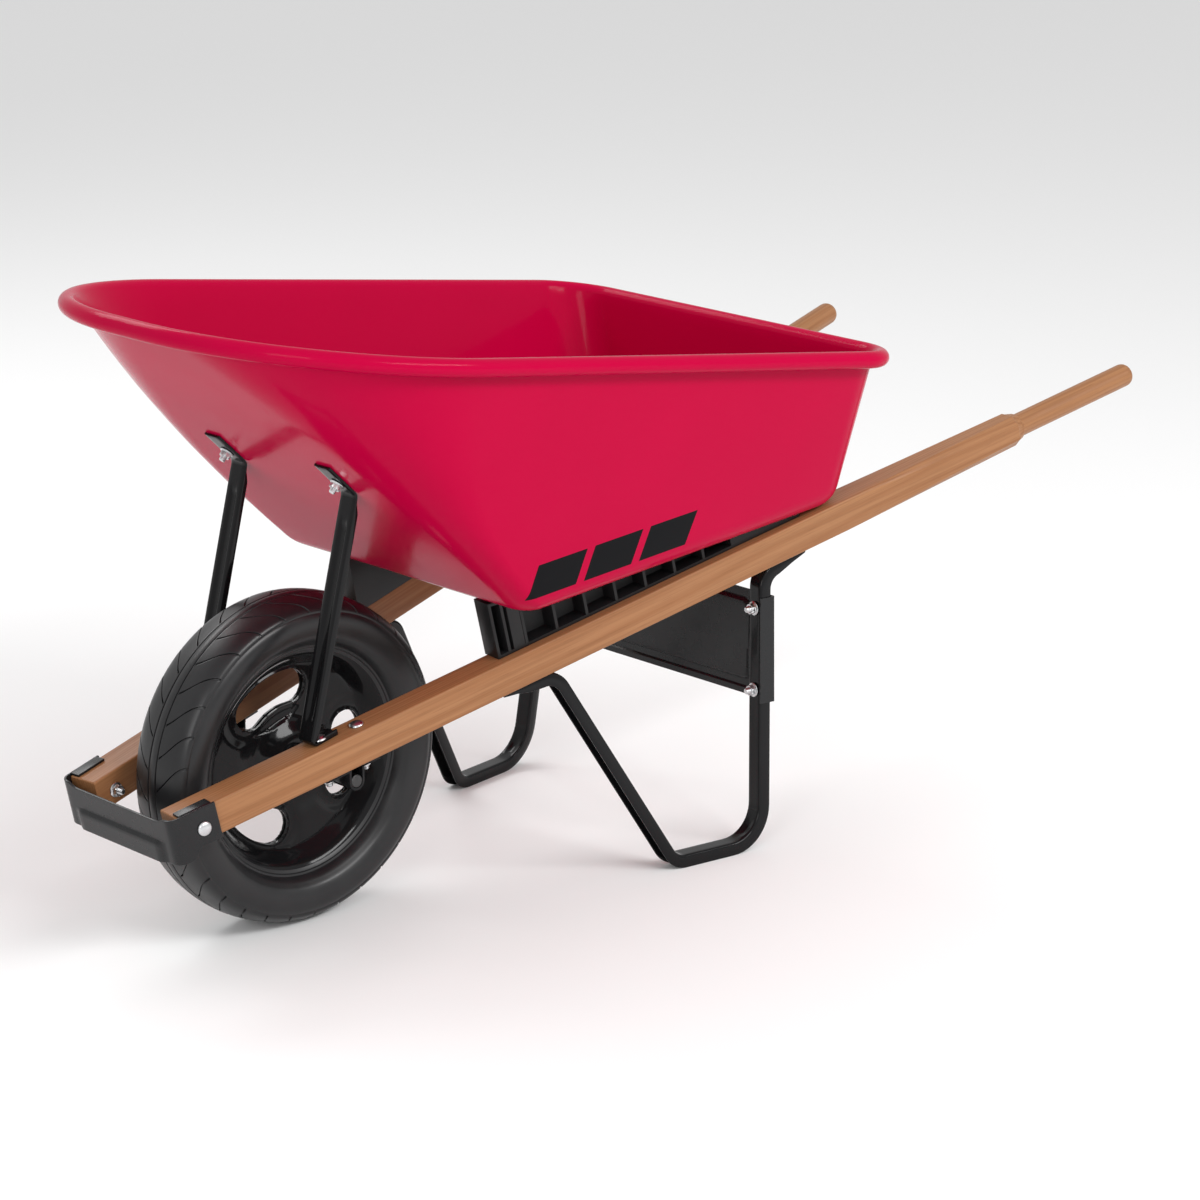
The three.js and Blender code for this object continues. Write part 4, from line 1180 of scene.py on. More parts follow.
@dataclass
class Rim:
    """A pressed half of the rim: a dished disc with three kidney openings, each hugged by a crescent."""

    sheet: float = 2.2
    steps: int = 216
    disc_rows: int = 46
    hub: float = 19.6
    disc: float = 113.0
    opening_radius: float = 88.0
    opening_depth: float = 22.0
    opening_half: float = math.radians(21)
    openings: int = 3
    first: float = math.radians(-10)
    face: float = 2.6
    dome_height: float = 14.0
    dome_end: float = 54.0
    edge_height: float = 2.0
    crescent_depth: float = 2.2
    crescent_width: float = 11.0
    crescent_angle: float = 0.62
    bowl_depth: float = 2.5
    lip: tuple = (
        (116.0, 4.6), (118.4, 7.4), (122.0, 12.5), (126.0, 18.0), (130.5, 23.6), (133.5, 26.2), (136.5, 27.6),
        (139.6, 29.4), (141.6, 30.0), (142.6, 29.2), (142.3, 28.0),
    )

    @property
    def pitch(self) -> float:
        """The angle from one opening to the next."""
        return 2 * math.pi / self.openings

    def from_middle(self, turn: float) -> float:
        """The angle from the middle of the nearest opening."""
        return (turn - self.first + self.pitch / 2) % self.pitch - self.pitch / 2

    def from_opening(self, radius: float, turn: float) -> float:
        """The distance from the nearest opening's edge, negative inside it.

        Args:
            radius: The distance from the axle in millimetres.
            turn: The angle from +X towards +Z.

        Returns:
            The distance in millimetres.
        """
        offset = self.from_middle(turn)
        held = max(-self.opening_half, min(self.opening_half, offset))
        near = Vector((math.cos(held), math.sin(held))) * self.opening_radius
        return (Vector((math.cos(offset), math.sin(offset))) * radius - near).length - self.opening_depth

    def relief(self, radius: float, turn: float) -> float:
        """How far the disc stands out: a dome at the hub, a rolled edge and a crescent at each opening.

        Args:
            radius: The distance from the axle in millimetres.
            turn: The angle from +X towards +Z.

        Returns:
            The height of the outer face in millimetres.
        """
        gap = self.from_opening(radius, turn)
        height = self.face + self.dome_height * (1 - smooth(radius, self.hub + 2, self.dome_end))
        edge = self.edge_height * smooth(gap, -2, 0) * (1 - smooth(gap, 1.2, 4.5))
        taper = max(0.0, 1 - (self.from_middle(turn) / self.crescent_angle) ** 2)
        inner = (1 - smooth(radius, 78, 86)) * taper
        far = 7.5 + self.crescent_width * inner
        crescent = smooth(gap, 6.5, 8.0) * (1 - smooth(gap, far, far + 2)) * smooth(inner, 0, 0.1)
        bowl = self.bowl_depth * smooth(radius, 60, 84) * smooth(gap, 10, 24)
        return height + edge - self.crescent_depth * crescent + bowl

    def build(self) -> Piece:
        """Spins a flat disc with its wall, raises the relief, cuts the openings and adds the thickness."""
        rows = [self.hub + (self.disc - self.hub) * k / self.disc_rows for k in range(self.disc_rows + 1)]
        profile = [(radius, 0.0) for radius in rows] + list(self.lip)
        rim = spun("rim_half", profile, AXLE, Vector((0, 1, 0)), self.steps)
        with editing(rim):
            mesh = bmesh.from_edit_mesh(rim.data)
            for vertex in mesh.verts:
                arm = vertex.co - AXLE
                radius = math.hypot(arm.x, arm.z) / MM
                if radius < self.disc + 0.5:
                    vertex.co.y = self.relief(radius, math.atan2(arm.z, arm.x)) * MM
            bmesh.update_edit_mesh(rim.data)
        face_towards(rim, AXLE, 40, Vector((0, 1, 0)))
        thicken(rim, self.sheet)
        for index in range(self.openings):
            self.cut(rim, self.first + index * self.pitch)
        shade(rim, 38)
        return rim

    def cut(self, rim: Piece, turn: float) -> None:
        """Cuts one opening with a kidney-shaped solid.

        Args:
            rim: The disc.
            turn: The opening's angle from +X towards +Z.
        """
        outline = []
        for sign in (1, -1):
            radius = self.opening_radius + sign * self.opening_depth
            outline += [
                (radius, turn - sign * self.opening_half + sign * self.opening_half * k / 9)
                for k in range(19)
            ]
            centre = turn + sign * self.opening_half
            for k in range(1, 12):
                swing = (0 if sign > 0 else math.pi) + math.pi * k / 12
                x = self.opening_radius + self.opening_depth * math.cos(swing)
                y = self.opening_depth * math.sin(swing)
                outline.append((math.hypot(x, y), centre + math.atan2(y, x)))
        rings = []
        for y in (-0.03, 0.06):
            rings.append([
                Vector((AXLE.x + r * MM * math.cos(a), y, AXLE.z + r * MM * math.sin(a))) for r, a in outline
            ])
        cutter = lofted("opening_cutter", rings, capped=True)
        modify(rim, "BOOLEAN", object=cutter, operation="DIFFERENCE", solver="EXACT")
        bpy.data.objects.remove(cutter)

    def make(self) -> None:
        """Builds the right half and fits out both."""
        fit_pair(self.build(), Body.WHEEL, "rim_paint", RIM_PAINT, "rim")


@dataclass
class Axle:
    """The hub, its bearings and the axle's tubes, all turned, and the saddle straps that hold the axle."""

    turned_steps: int = 64
    edge: float = 0.6

    def make(self) -> None:
        """Turns the axle afresh, copies the hub, bearings, spacers and saddle straps with soft edges, and
        fits them out.
        """
        axis = Vector((0, 1, 0))
        axle = spun(
            "axle_rod", [(0, -130.3), (7.0, -130.3), (8.0, -129.3), (8.0, 129.3), (7.0, 130.3), (0, 130.3)],
            AXLE, axis, self.turned_steps,
        )
        shade(axle)
        fit_out(axle, Body.FRAME, "bright_steel", DARK_STEEL, "axle")
        hub = merged_copy("hub", "hub_tube")
        soften(hub, self.edge)
        shade(hub)
        fit_out(hub, Body.WHEEL, "rim_paint", RIM_PAINT, "hub")
        for node, body, finish in (
            ("wheel_bearing", Body.WHEEL, BRONZE), ("axle_spacer", Body.FRAME, STEEL),
        ):
            piece = merged_copy(node + "_right", node + "_ring")
            soften(piece, self.edge)
            shade(piece)
            fit_pair(piece, body, "bright_steel", finish, node)
        bracket = merged_copy("axle_bracket_right", "axle_saddle")
        soften(bracket, 0.8)
        shade(bracket)
        fit_pair(bracket, Body.FRAME, "black_steel", BLACK_PAINT, "axle_bracket")


# ---- Handles and nose guard ---------------------------------------------------------------------------


@dataclass
class Handle:
    """A straight hardwood handle: eased edges, an eight-sided run to the shoulder and a round grip."""

    ease: float = 2.2
    shoulder_cut: float = 11.0
    run: float = 300.0
    grip_length: float = 206.0
    grip_radius: float = 15.5

    def square(self, along: float, half: float, cut: float, roundness: float) -> list[Vector]:
        """A square ring with cut corners.

        Args:
            along: The ring's place along the handle.
            half: Half the size across flats.
            cut: How far each corner is cut back.
            roundness: Nought for a flat cut, one for a rounded one.

        Returns:
            The ring's points in metres.
        """
        corner = half - cut
        quarter = [(half, 0.0), (half, corner / 2)]
        for k in range(5):
            chord = Vector((half - cut * k / 4, corner + cut * k / 4))
            turn = math.pi / 2 * k / 4
            arc = Vector((corner + cut * math.cos(turn), corner + cut * math.sin(turn)))
            point = chord.lerp(arc, roundness)
            quarter.append((point.x, point.y))
        quarter.append((corner / 2, half))
        return self.ring(along, quarter)

    def round(self, along: float, radius: float) -> list[Vector]:
        """A round ring."""
        turns = [math.pi / 16 * k for k in range(8)]
        return self.ring(along, [(radius * math.cos(turn), radius * math.sin(turn)) for turn in turns])

    def ring(self, along: float, quarter: Sequence[Flat]) -> list[Vector]:
        """A whole ring from its first quarter, about the handle's middle line."""
        middle = RAIL.size / 2
        points = []
        for k in range(4):
            cosine, sine = (1, 0, -1, 0)[k], (0, 1, 0, -1)[k]
            for out, up in quarter:
                across, rise = out * cosine - up * sine, out * sine + up * cosine
                points.append(RAIL.point(along, middle + across, rise - middle))
        return points

    def build(self) -> Piece:
        """Grows the handle ring by ring from its nose to the end of its grip."""
        half = RAIL.size / 2
        shoulder = RAIL.length - self.grip_length
        start = shoulder - 12 - self.run
        rings = [self.square(0, half - 1.0, self.ease, 1), self.square(1.0, half, self.ease, 1)]
        rings += [self.square(start * k / 6, half, self.ease, 1) for k in range(1, 7)]
        for k in range(1, 11):
            share = k / 10
            cut = self.ease + (self.shoulder_cut - self.ease) * share
            rings.append(self.square(start + self.run * share, half, cut, (1 - share) ** 2))
        rings += [
            self.square(shoulder - 9, half - 1.6, self.shoulder_cut, 0.1),
            self.round(shoulder - 1, self.grip_radius + 2.6),
            self.round(shoulder + 1, self.grip_radius + 0.9),
            self.round(shoulder + 5, self.grip_radius),
        ]
        rings += [
            self.round(shoulder + 5 + (self.grip_length - 16) * k / 5, self.grip_radius) for k in range(1, 6)
        ]
        for k in range(1, 8):
            turn = math.pi / 2 * k / 8
            along = RAIL.length - 11 + 11 * math.sin(turn)
            rings.append(self.round(along, self.grip_radius - 9 + 9 * math.cos(turn)))
        rings.append(self.round(RAIL.length, self.grip_radius - 8.6))
        handle = lofted("handle_bar", rings, capped=True)
        shade(handle, 24)
        return handle

    def make(self) -> None:
        """Builds the right handle and fits out both."""
        fit_pair(self.build(), Body.FRAME, "timber", TIMBER, "handle")


@dataclass
class NoseGuard:
    """The bent plate before the wheel: a pressed front, round corners and an ear on each handle."""

    sheet: float = 3.0
    ahead: float = 15.0
    corner: float = 10.0
    ear_end: float = 49.0
    bottom: float = -55.0
    ear_bottom: float = -43.0
    dip: float = -2.0
    tab: Flat = (2.0, 45.0)
    tab_width: float = 13.0
    press_top: float = -31.0
    press_half: float = 84.0
    press_depth: float = 4.5
    gap: float = 0.3

    def half_lines(self) -> list[list[Vector]]:
        """The inner face's upright lines, from the middle to the end of the right ear, in metres."""
        forward = Vector((math.cos(RAIL.pitch), 0, math.sin(RAIL.pitch)))
        upright = Vector((-math.sin(RAIL.pitch), 0, math.cos(RAIL.pitch)))
        start = Vector((RAIL.nose.x, 0, RAIL.nose.z))
        inside = RAIL.size + self.gap

        def flat(point: Vector) -> Flat:
            """A point as its distances along the plate's own plan."""
            arm = point - start
            return arm.dot(forward) / MM, arm.y / MM

        end, front = flat(RAIL.point(self.ear_end, inside, 0)), flat(RAIL.point(0, inside, 0))
        slope = (end[1] - front[1]) / (end[0] - front[0])
        corner = (-self.ahead, front[1] - (front[0] + self.ahead) * slope)
        path = spread(rounded_path([(-self.ahead, 0), corner, end], [self.corner], 8), 5)
        full_turn = math.atan2(end[1] - front[1], end[0] - front[0]) - math.pi / 2
        lines = []
        for (x, y), (hx, hy) in path:
            share = (math.atan2(hy, hx) - math.pi / 2) / full_turn
            rise = upright.lerp(RAIL.up, share)
            base = start + (forward * x) * MM
            base.y = y * MM
            outward = (forward * -hy).normalized() * abs(hy) + Vector((0, hx, 0))
            low = self.bottom + (self.ear_bottom - self.bottom) * smooth(x, 2, 14)
            high = self.dip + (self.gap + self.sheet - self.dip) * smooth(y, corner[1] - 26, corner[1] - 8)
            lines.append([
                base + (rise * height + outward * self.press(y, height, x)) * MM
                for height in (low + (high - low) * k / 28 for k in range(29))
            ])
        return lines

    def press(self, y: float, height: float, x: float) -> float:
        """How far the plate's front is pressed forward at a point."""
        return self.press_depth * (1 - smooth(height, self.press_top - 2.5, self.press_top + 2.5)) * (
            1 - smooth(abs(y), self.press_half - 9, self.press_half)
        ) * (1 if x < 0 else 0)

    def build(self) -> Piece:
        """Grows the plate line by line from ear to ear and adds the folded tabs."""
        half = self.half_lines()
        other = [[Vector((p.x, -p.y, p.z)) for p in line] for line in reversed(half[1:])]
        plate = lofted("nose_plate", other + half, closed=False)
        face_towards(plate, half[0][20], 8, Vector((-1, 0, 0)))
        thicken(plate, self.sheet, outward=True)
        soften(plate, 0.7, 2, 50)
        tab = self.folded_tab()
        join_into(plate, tab, mirrored(tab, "tab_left"))
        shade(plate, 40)
        return plate

    def folded_tab(self) -> Piece:
        """The ear's strip that lies on the handle's top face, rounded over its outer edge."""
        top, out = self.gap + self.sheet, RAIL.size + self.gap + self.sheet
        section = [(RAIL.size - self.tab_width, self.gap), (RAIL.size - self.tab_width, top)]
        for k in range(6):
            turn = math.pi / 2 * (1 - k / 5)
            section.append((out - 4 + 4 * math.cos(turn), top - 4 + 4 * math.sin(turn)))
        section += [(out, -6.0), (out - self.sheet, -6.0), (out - self.sheet, self.gap)]
        stations = [self.tab[0], self.tab[0] + 0.8, self.tab[1] - 0.8, self.tab[1]]
        rings = []
        for index, along in enumerate(stations):
            shrink = 0.4 if index in (0, 3) else 0.0
            rings.append([
                RAIL.point(along, o + shrink * (0.5 if o < out - 2 else -0.5), u - shrink * (u > 1))
                for o, u in section
            ])
        return lofted("guard_tab", rings, capped=True)

    def make(self) -> None:
        """Builds and fits out the guard."""
        fit_out(self.build(), Body.FRAME, "satin_steel", CHARCOAL, "nose_guard")


# ---- Legs, panel, risers and braces -------------------------------------------------------------------


@dataclass
class Leg:
    """A steel channel bent into two tabs, a diagonal, a foot and an upright that leans outward."""

    width: float = 24.0
    depth: float = 16.0
    sheet: float = 2.5
    lean: float = 0.107
    front_tab: float = 460.0
    front_bend: float = 545.0
    rear_bend: float = 865.0
    rear_tab: float = 938.0
    foot_front: float = 702.0
    foot_rear: float = 828.0
    radii: tuple = (36.0, 20.0, 44.0, 36.0)
    dimple: float = 4.0
    gap: float = 0.3

    def corners(self) -> list[Flat]:
        """The corners of the path, on the face towards the inside of the loop."""
        under = -RAIL.size - self.gap
        return [
            (self.front_tab, under), (self.front_bend, under), RAIL.level(self.foot_front, self.depth),
            RAIL.level(self.foot_rear, self.depth), (self.rear_bend, under), (self.rear_tab, under),
        ]

    def upright(self, height: float) -> float:
        """The level distance of the upright's front face behind the nose, at a height."""
        along, up = self.corners()[4]
        cosine, sine = math.cos(RAIL.pitch), math.sin(RAIL.pitch)
        top, top_height = along * cosine - up * sine, RAIL.nose.z / MM + along * sine + up * cosine
        share = (height - self.depth) / (top_height - self.depth)
        return self.foot_rear + share * (top - self.foot_rear)

    def at(self, back: float, across: float, height: float) -> Vector:
        """A point behind the upright's front face, across from its middle and at a height."""
        along, up = RAIL.level(self.upright(height) + back, height)
        return RAIL.leaning(along, across, up, self.lean)

    def section(self, depth: float) -> list[Flat]:
        """The channel's outer face, across and deep, with rounded edges.

        Args:
            depth: How deep the lips are.

        Returns:
            The points from one lip to the other.
        """
        half, radius = self.width / 2, 3.2
        side = [(half, depth), (half, (depth + radius) / 2), (half, radius)]
        for k in range(1, 5):
            turn = math.pi / 2 * k / 4
            side.append((half - radius + radius * math.cos(turn), radius - radius * math.sin(turn)))
        side += [(5.5, 0.0), (3.0, 0.0)]
        return side + [(0.0, 0.0)] + [(-x, y) for x, y in reversed(side)]

    def build(self) -> Piece:
        """Draws the channel along its bent path and dimples it at the heel."""
        bends = rounded_path(self.corners(), self.radii, 12)
        heel = RAIL.level(self.foot_rear, self.depth)
        rings = []
        for (along, up), (ha, hu) in spread(bends, 24):
            near = math.dist((along, up), heel)
            from_tabs = smooth(along, self.front_tab, self.front_bend - 30) * (
                1 - smooth(along, self.rear_bend + 22, self.rear_tab)
            )
            tall = up < -RAIL.size - 14
            ring = []
            for across, deep in self.section(self.depth if tall else 5.0 + (self.depth - 5.0) * from_tabs):
                middle = 1 - smooth(abs(across), 2, 8)
                press = self.dimple * (1 - smooth(near, 10, 26)) * middle * (deep < 1)
                inner = deep + press
                ring.append(RAIL.leaning(along + hu * inner, across, up - ha * inner, self.lean))
            rings.append(ring)
        leg = lofted("leg_channel", rings, closed=False)
        sole = RAIL.level((self.foot_front + self.foot_rear) / 2, self.depth)
        face_towards(leg, RAIL.leaning(sole[0], 0, sole[1], self.lean), 12, Vector((0, 0, 1)))
        thicken(leg, self.sheet)
        soften(leg, 0.5, 2, 60)
        shade(leg, 45)
        return leg

    def make(self) -> None:
        """Builds the right leg and fits out both."""
        fit_pair(self.build(), Body.FRAME, "black_steel", BLACK_PAINT, "leg")


@dataclass
class LegPanel:
    """The pressed plate behind the uprights: lips round both legs, a turned-in foot and a raised field."""

    leg: Leg = field(default_factory=Leg)
    sheet: float = 2.0
    bottom: float = 188.0
    top: float = 322.0
    raise_by: float = 4.0
    border: float = 16.0
    columns: int = 180
    rows: int = 64

    def field_height(self, inboard: float, height: float) -> float:
        """How far the plate is pressed forward.

        Args:
            inboard: The distance from the leg's middle line towards the middle of the plate.
            height: The height above the ground.

        Returns:
            The height of the relief in millimetres.
        """
        side, low, high = inboard - self.border, height - self.bottom - 20, self.top - 15 - height
        near = sorted((side, low, high))
        corner = 12.0
        edge = corner - math.dist((corner, corner), near[:2]) if near[1] < corner else near[0]
        hem = 3.2 * (1 - smooth(height - self.bottom, 6, 9))
        return max(self.raise_by * smooth(edge, -1.5, 1.5), hem)

    def build(self) -> Piece:
        """Shapes a grid into the plate between its lips and thickens it."""
        deselect()
        bpy.ops.mesh.primitive_grid_add(x_subdivisions=self.columns, y_subdivisions=self.rows, size=2)
        plate = named(bpy.context.object, "leg_panel")
        half_width = self.leg.width / 2 + 0.3
        lip, inner = 22.0, self.leg.depth
        with editing(plate):
            mesh = bmesh.from_edit_mesh(plate.data)
            for vertex in mesh.verts:
                across, share = vertex.co.x, (vertex.co.y + 1) / 2
                sign = 1 if across >= 0 else -1
                height = self.bottom + (self.top - self.bottom) * share
                plane = self.leg.at(inner, -self.leg.width / 2, height).x + (0.6 + self.sheet) * MM
                run = self.leg.at(inner, half_width + self.sheet, height).y / MM
                travel = abs(across) * (run + lip)
                if travel <= run:
                    lift = self.field_height(run - travel - self.leg.width, height)
                    vertex.co = Vector((plane - lift * MM, sign * travel * MM, height * MM))
                else:
                    point = self.leg.at(inner + 5 - (travel - run), half_width + self.sheet, height)
                    vertex.co = Vector((point.x, sign * point.y, point.z))
            bmesh.update_edit_mesh(plate.data)
        centre = self.leg.at(inner, 0, (self.bottom + self.top) / 2)
        face_towards(plate, Vector((centre.x, 0, centre.z)), 30, Vector((1, 0, 0)))
        thicken(plate, self.sheet)
        shade(plate, 40)
        return plate

    def make(self) -> None:
        """Builds and fits out the panel."""
        fit_out(self.build(), Body.FRAME, "satin_steel", CHARCOAL, "leg_brace_panel")


@dataclass
class Riser:
    """The ribbed plastic wedge between a handle and the tray."""

    edge: float = 0.7

    def make(self) -> None:
        """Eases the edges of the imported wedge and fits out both."""
        wedge = merged_copy("riser_right", "riser_wedge")
        soften(wedge, self.edge, 2, 30)
        shade(wedge, 35)
        fit_pair(wedge, Body.FRAME, "moulding", PLASTIC, "riser")


@dataclass
class TrayBrace:
    """The strap from a handle to the tray's front wall: lips down its sides and a long pressed rib."""

    tray: Tray = field(default_factory=Tray)
    sheet: float = 3.0
    width: float = 28.0
    flange: float = 8.0
    middle: float = 103.0
    foot_rear: float = -16.0
    foot_front: float = -57.0
    crease: float = 545.0
    tab: float = 55.0
    bend: float = 7.0
    gap: float = 0.3
    rib: float = 2.4

    def wall(self) -> tuple[Vector, Vector]:
        """The foot of the front wall's inner face and the way it climbs, seen from the side."""
        tray = self.tray
        foot = Vector((tray.floor_front, tray.floor_z + tray.sheet / math.cos(tray.floor_pitch)))
        bead = Vector((tray.rim_front, tray.rim_z - tray.rim_front * math.tan(tray.rim_pitch)))
        climb = (bead - foot).normalized()
        head = bead + Vector((climb.y, -climb.x)) * tray.bead
        return foot, (head - foot).normalized()

    def beside_wall(self, height: float, distance: float) -> Vector:
        """A point outside the wall's inner face by a distance, at a height."""
        foot, climb = self.wall()
        start = foot + Vector((-climb.y, climb.x)) * distance
        return start + climb * ((height - start.y) / climb.y)

    def on_handle(self, x: float) -> Flat:
        """A point of the strap's underside on the handle's top face."""
        edge, nose, up = self.middle + self.width / 2, RAIL.nose, RAIL.up
        nose_x = (nose.x - AXLE.x) / MM
        fall = (x - nose_x) * up.x / up.z + (edge - nose.y / MM) * up.y / up.z
        return x, nose.z / MM - fall + self.gap

    def build(self) -> Piece:
        """Draws the strap along its path with lips that grow between its bends."""
        foot = self.on_handle(self.foot_front)
        crease = self.beside_wall(self.crease, self.tray.sheet + self.sheet + 2 * self.gap)
        tip = crease + self.wall()[1] * self.tab
        corners = [self.on_handle(self.foot_rear), foot, (crease.x, crease.y), (tip.x, tip.y)]
        stations = spread(rounded_path(corners, [self.bend, self.bend], 8), 6)
        half = self.width / 2
        rings = []
        for (x, z), (hx, hz) in stations:
            rise = min(math.dist((x, z), foot), math.dist((x, z), tuple(crease)))
            on_strap = foot[1] < z < crease.y and rise > 5
            least = self.sheet + 0.2
            lip = least + (self.flange - least) * (smooth(rise, 6, 24) if on_strap else 0)
            ribbed = self.rib * (smooth(rise, 30, 40) if on_strap else 0)
            side = [(half, lip), (half, (lip + 2.6) / 2), (half, 2.6), (half - 0.8, 0.8), (half - 2.6, 0.0)]
            side += [(7.5, 0.0), (5.6, ribbed * 0.2), (4.2, ribbed * 0.85), (2.4, ribbed)]
            section = side + [(0.0, ribbed)] + [(-a, d) for a, d in reversed(side)]
            rings.append([spot(x + hz * d, self.middle + a, z - hx * d) for a, d in section])
        strap = lofted("tray_strap", rings, closed=False)
        (x, z), _ = stations[len(stations) // 2]
        face_towards(strap, spot(x, self.middle, z), 12, Vector((-1, 0, 0)))
        thicken(strap, self.sheet - 0.4)
        soften(strap, 0.5, 2, 60)
        shade(strap, 42)
        return strap

    def make(self) -> None:
        """Builds the right strap and fits out both."""
        fit_pair(self.build(), Body.FRAME, "black_steel", BLACK_PAINT, "tray_brace")


# ---- Fasteners ----------------------------------------------------------------------------------------


@dataclass
class Fasteners:
    """Carriage bolts with rolled threads, and flanged nuts, each on the axis of its packed one."""

    shank: float = 4.0
    head: float = 9.0
    head_height: float = 4.6
    packed_head: float = 4.5
    thread_pitch: float = 1.25
    thread_depth: float = 0.62
    thread_run: float = 15.0
    flats: float = 12.7
    nut_height: float = 7.0
    flange: float = 9.2
    bore: float = 4.2
    nut_steps: int = 48
    steps: int = 28
    kinds: tuple = (
        "guard_bolt", "axle_bolt_front", "axle_bolt_rear", "tray_bolt_front", "tray_bolt_rear",
        "tray_brace_bolt", "panel_bolt_lower", "panel_bolt_upper",
    )

    def axis_of(self, node: str) -> tuple[Vector, Vector, float, float]:
        """Finds the axis of a packed bolt.

        Args:
            node: The bolt's node.

        Returns:
            A point on the axis, its direction towards the head, and the tip's and the head's places along it.
        """
        points = np.array([tuple(vertex.co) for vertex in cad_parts[node].data.vertices])
        centre = points.mean(0)
        values, vectors = np.linalg.eigh(np.cov((points - centre).T))
        lone = 0 if abs(values[0] - values[1]) > abs(values[1] - values[2]) else 2
        axis = vectors[:, lone]
        reach = (points - centre) @ axis
        spread_out = np.linalg.norm((points - centre) - np.outer(reach, axis), axis=1)
        if reach[spread_out.argmax()] < reach.mean():
            axis, reach = -axis, -reach
        return Vector(centre), Vector(axis), float(reach.min()) / MM, float(reach.max()) / MM

    def bolt(self, node: str) -> Piece:
        """Turns one bolt: a domed head, a plain shank and a threaded end."""
        centre, axis, tip, crown = self.axis_of(node)
        seat = crown - self.packed_head
        profile = [(0.0, tip), (self.shank - 1.0, tip), (self.shank - 0.3, tip + 0.7)]
        turns = int(self.thread_run / self.thread_pitch)
        for k in range(turns):
            low = tip + 0.9 + k * self.thread_pitch
            profile += [
                (self.shank - self.thread_depth, low),
                (self.shank, low + 0.45 * self.thread_pitch),
                (self.shank, low + 0.6 * self.thread_pitch),
            ]
        profile += [(self.shank, seat), (self.head - 0.5, seat), (self.head, seat + 0.5)]
        for k in range(1, 9):
            turn = math.pi / 2 * k / 8
            rise = 0.5 + (self.head_height - 0.6) * math.sin(turn)
            profile.append((self.head * math.cos(turn), seat + rise))
        profile[-1] = (0.0, profile[-1][1])
        bolt = spun(node.replace("bolt", "carriage_bolt"), profile, centre, axis, self.steps)
        shade(bolt, 35)
        return bolt

    def nut(self, bolt_node: str, nut_node: str) -> Piece:
        """Shapes one nut from a six-sided prism: chamfered corners, a flange and a bore."""
        centre, axis, _, _ = self.axis_of(bolt_node)
        corners = [vertex.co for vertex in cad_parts[nut_node].data.vertices]
        along = [(corner - centre).dot(axis) for corner in corners]
        base = centre + axis * max(along)
        arms = [(corner - base) - axis * (corner - base).dot(axis) for corner in corners]
        side = max(arms, key=lambda arm: arm.length).normalized()
        other = axis.cross(side)
        circle = self.flats / math.sqrt(3)

        def ring(depth: float, radius: float, hexed: float) -> list[Vector]:
            """A ring from round to six-sided at a depth below the nut's seat."""
            points = []
            for k in range(self.nut_steps):
                turn = 2 * math.pi * k / self.nut_steps
                sixth = (turn + math.pi / 6) % (math.pi / 3) - math.pi / 6
                flat = circle * math.cos(math.pi / 6) / math.cos(math.pi / 6 - abs(sixth))
                reach = radius + (min(flat, radius) - radius) * hexed
                arm = (side * math.cos(turn) + other * math.sin(turn)) * reach
                points.append(base + (arm - axis * depth) * MM)
            return points

        rings = [
            ring(0.0, self.bore, 0), ring(0.0, self.flange - 0.4, 0), ring(0.5, self.flange, 0),
            ring(1.1, self.flange - 0.3, 0), ring(2.0, circle + 0.2, 1),
            ring(self.nut_height - 0.9, circle + 0.2, 1), ring(self.nut_height, circle - 0.9, 1),
            ring(self.nut_height, self.bore + 0.7, 0), ring(self.nut_height - 0.6, self.bore, 0),
            ring(0.0, self.bore, 0),
        ]
        nut = lofted(nut_node.replace("nut", "flange_nut"), rings)
        tidy_shell(nut)
        shade(nut, 30)
        return nut

    def make(self) -> None:
        """Makes every bolt and nut of both sides."""
        for side in Side:
            for kind in self.kinds:
                bolt_node = f"{kind}_{side.word}"
                nut_node = bolt_node.replace("bolt", "nut")
                fit_out(self.bolt(bolt_node), Body.FRAME, "zinc", ZINC, bolt_node)
                fit_out(self.nut(bolt_node, nut_node), Body.FRAME, "zinc", ZINC, nut_node)


# ---- Studio -------------------------------------------------------------------------------------------


@dataclass
class Softbox:
    """A rectangular light that points at the barrow."""

    name: str
    place: tuple
    aim: tuple
    size: Flat
    power: float
    tint: tuple = (1.0, 1.0, 1.0)

    def light(self) -> None:
        """Adds the light."""
        deselect()
        bpy.ops.object.light_add(type="AREA", location=self.place)
        lamp = bpy.context.object
        lamp.name = self.name
        lamp.data.shape = "RECTANGLE"
        lamp.data.size, lamp.data.size_y = self.size
        lamp.data.energy = self.power
        lamp.data.color = self.tint
        lamp.rotation_mode = "QUATERNION"
        lamp.rotation_quaternion = (Vector(self.aim) - Vector(self.place)).to_track_quat("-Z", "Y")


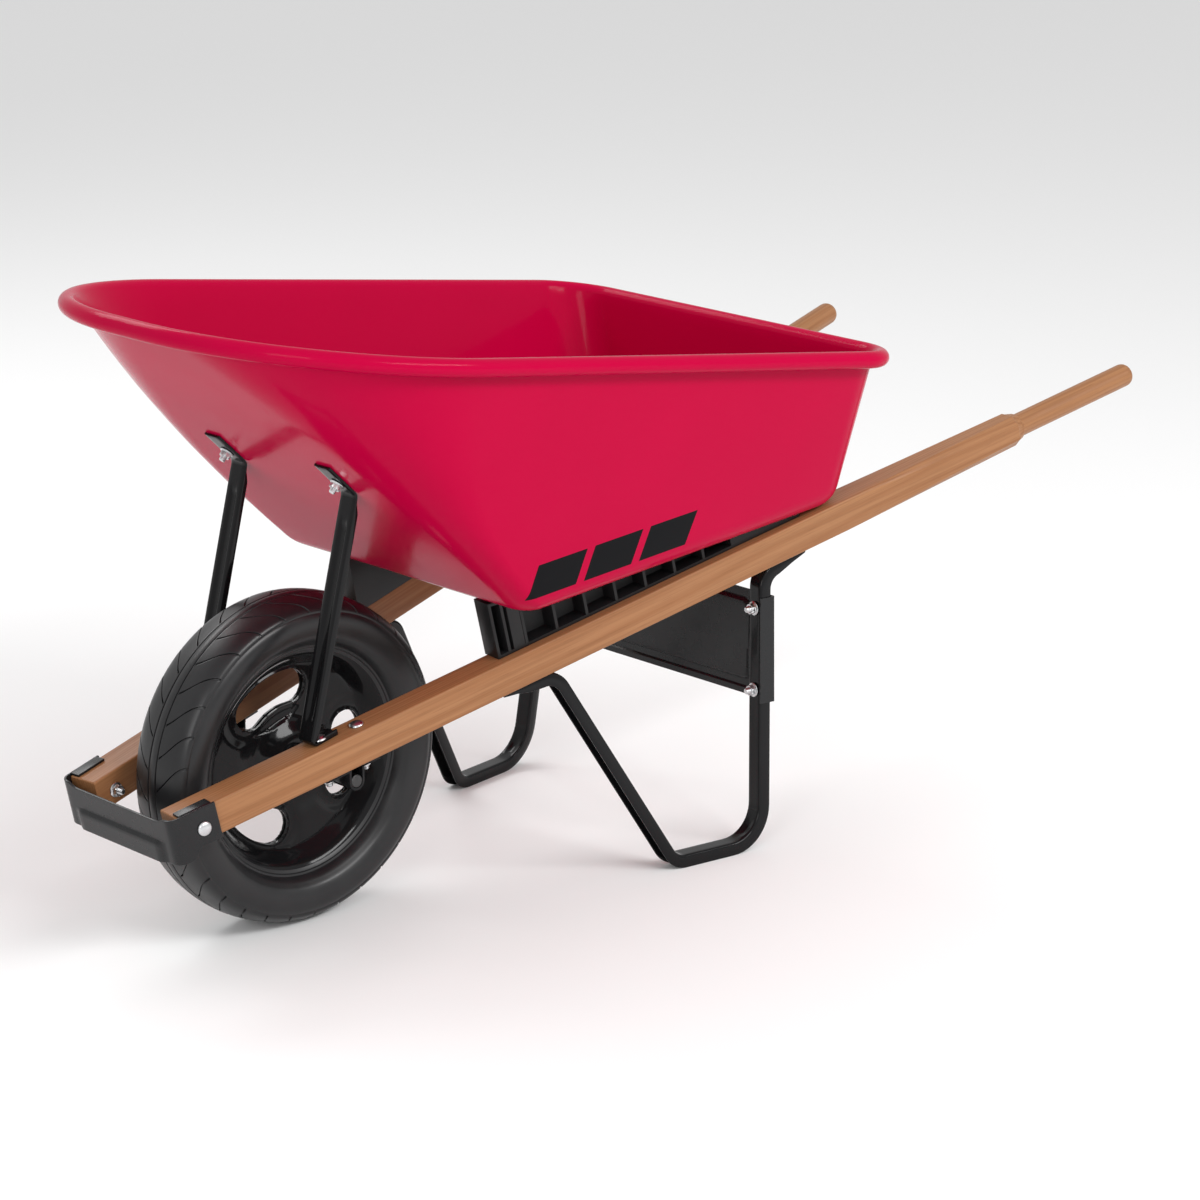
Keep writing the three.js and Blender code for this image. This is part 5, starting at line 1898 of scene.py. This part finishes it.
@dataclass
class Studio:
    """A pale floor, soft lights and the camera."""

    floor_size: float = 60.0
    floor_colour: tuple = (0.93, 0.93, 0.93)
    sky: float = 0.72
    azimuth: float = math.radians(-43.46)
    elevation: float = math.radians(16.56)
    stand: tuple = (-2605.4, -3295.5, 1642.1)
    lens: float = 110.27
    sensor: float = 36.0
    lamps: tuple = (
        Softbox("key_light", (0.6, -3.6, 3.0), (0.1, 0.0, 0.45), (3.2, 0.9), 115.0),
        Softbox("front_light", (-3.4, -2.0, 1.7), (-0.4, 0.0, 0.3), (1.2, 1.2), 24.0),
        Softbox("back_light", (-0.2, 2.8, 3.0), (0.0, 0.0, 0.5), (2.4, 1.0), 40.0),
    )

    def floor(self) -> None:
        """Lays the floor."""
        deselect()
        bpy.ops.mesh.primitive_plane_add(size=self.floor_size, location=(0, 0, 0))
        floor = named(bpy.context.object, "floor")
        wiring = Wiring("floor paper")
        wiring.surface(Base_Color=(*self.floor_colour, 1), Roughness=0.9)
        floor.data.materials.append(wiring.material)

    def world(self) -> None:
        """Fills the surroundings with even white light."""
        world = bpy.data.worlds.new("studio")
        bpy.context.scene.world = world
        bpy.context.scene.view_settings.view_transform = "Standard"
        world.use_nodes = True
        world.node_tree.nodes["Background"].inputs["Color"].default_value = (1, 1, 1, 1)
        world.node_tree.nodes["Background"].inputs["Strength"].default_value = self.sky

    def camera(self) -> None:
        """Stands the camera and aims it."""
        deselect()
        bpy.ops.object.camera_add(location=spot(*self.stand))
        camera = bpy.context.object
        camera.name = "camera"
        camera.data.lens = self.lens
        camera.data.sensor_width = self.sensor
        camera.data.clip_end = 200.0
        level = math.cos(self.elevation)
        away = (math.sin(self.azimuth) * level, -math.cos(self.azimuth) * level, math.sin(self.elevation))
        camera.rotation_mode = "QUATERNION"
        camera.rotation_quaternion = (-Vector(away)).to_track_quat("-Z", "Y")
        bpy.context.scene.camera = camera

    def make(self) -> None:
        """Sets up the whole studio."""
        self.camera()
        self.floor()
        self.world()
        for lamp in self.lamps:
            lamp.light()


def main() -> None:
    """Builds the studio and every sub-assembly, and logs each one as it is made."""
    logging.basicConfig(level=logging.INFO, format="%(message)s")
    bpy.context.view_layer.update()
    for maker in (
        Studio(), Tray(), Tyre(), Rim(), Axle(), Handle(), NoseGuard(), Leg(), LegPanel(), Riser(),
        TrayBrace(), Fasteners(),
    ):
        maker.make()
        LOG.info("made: %s", type(maker).__name__)


if __name__ == "__main__":
    main()
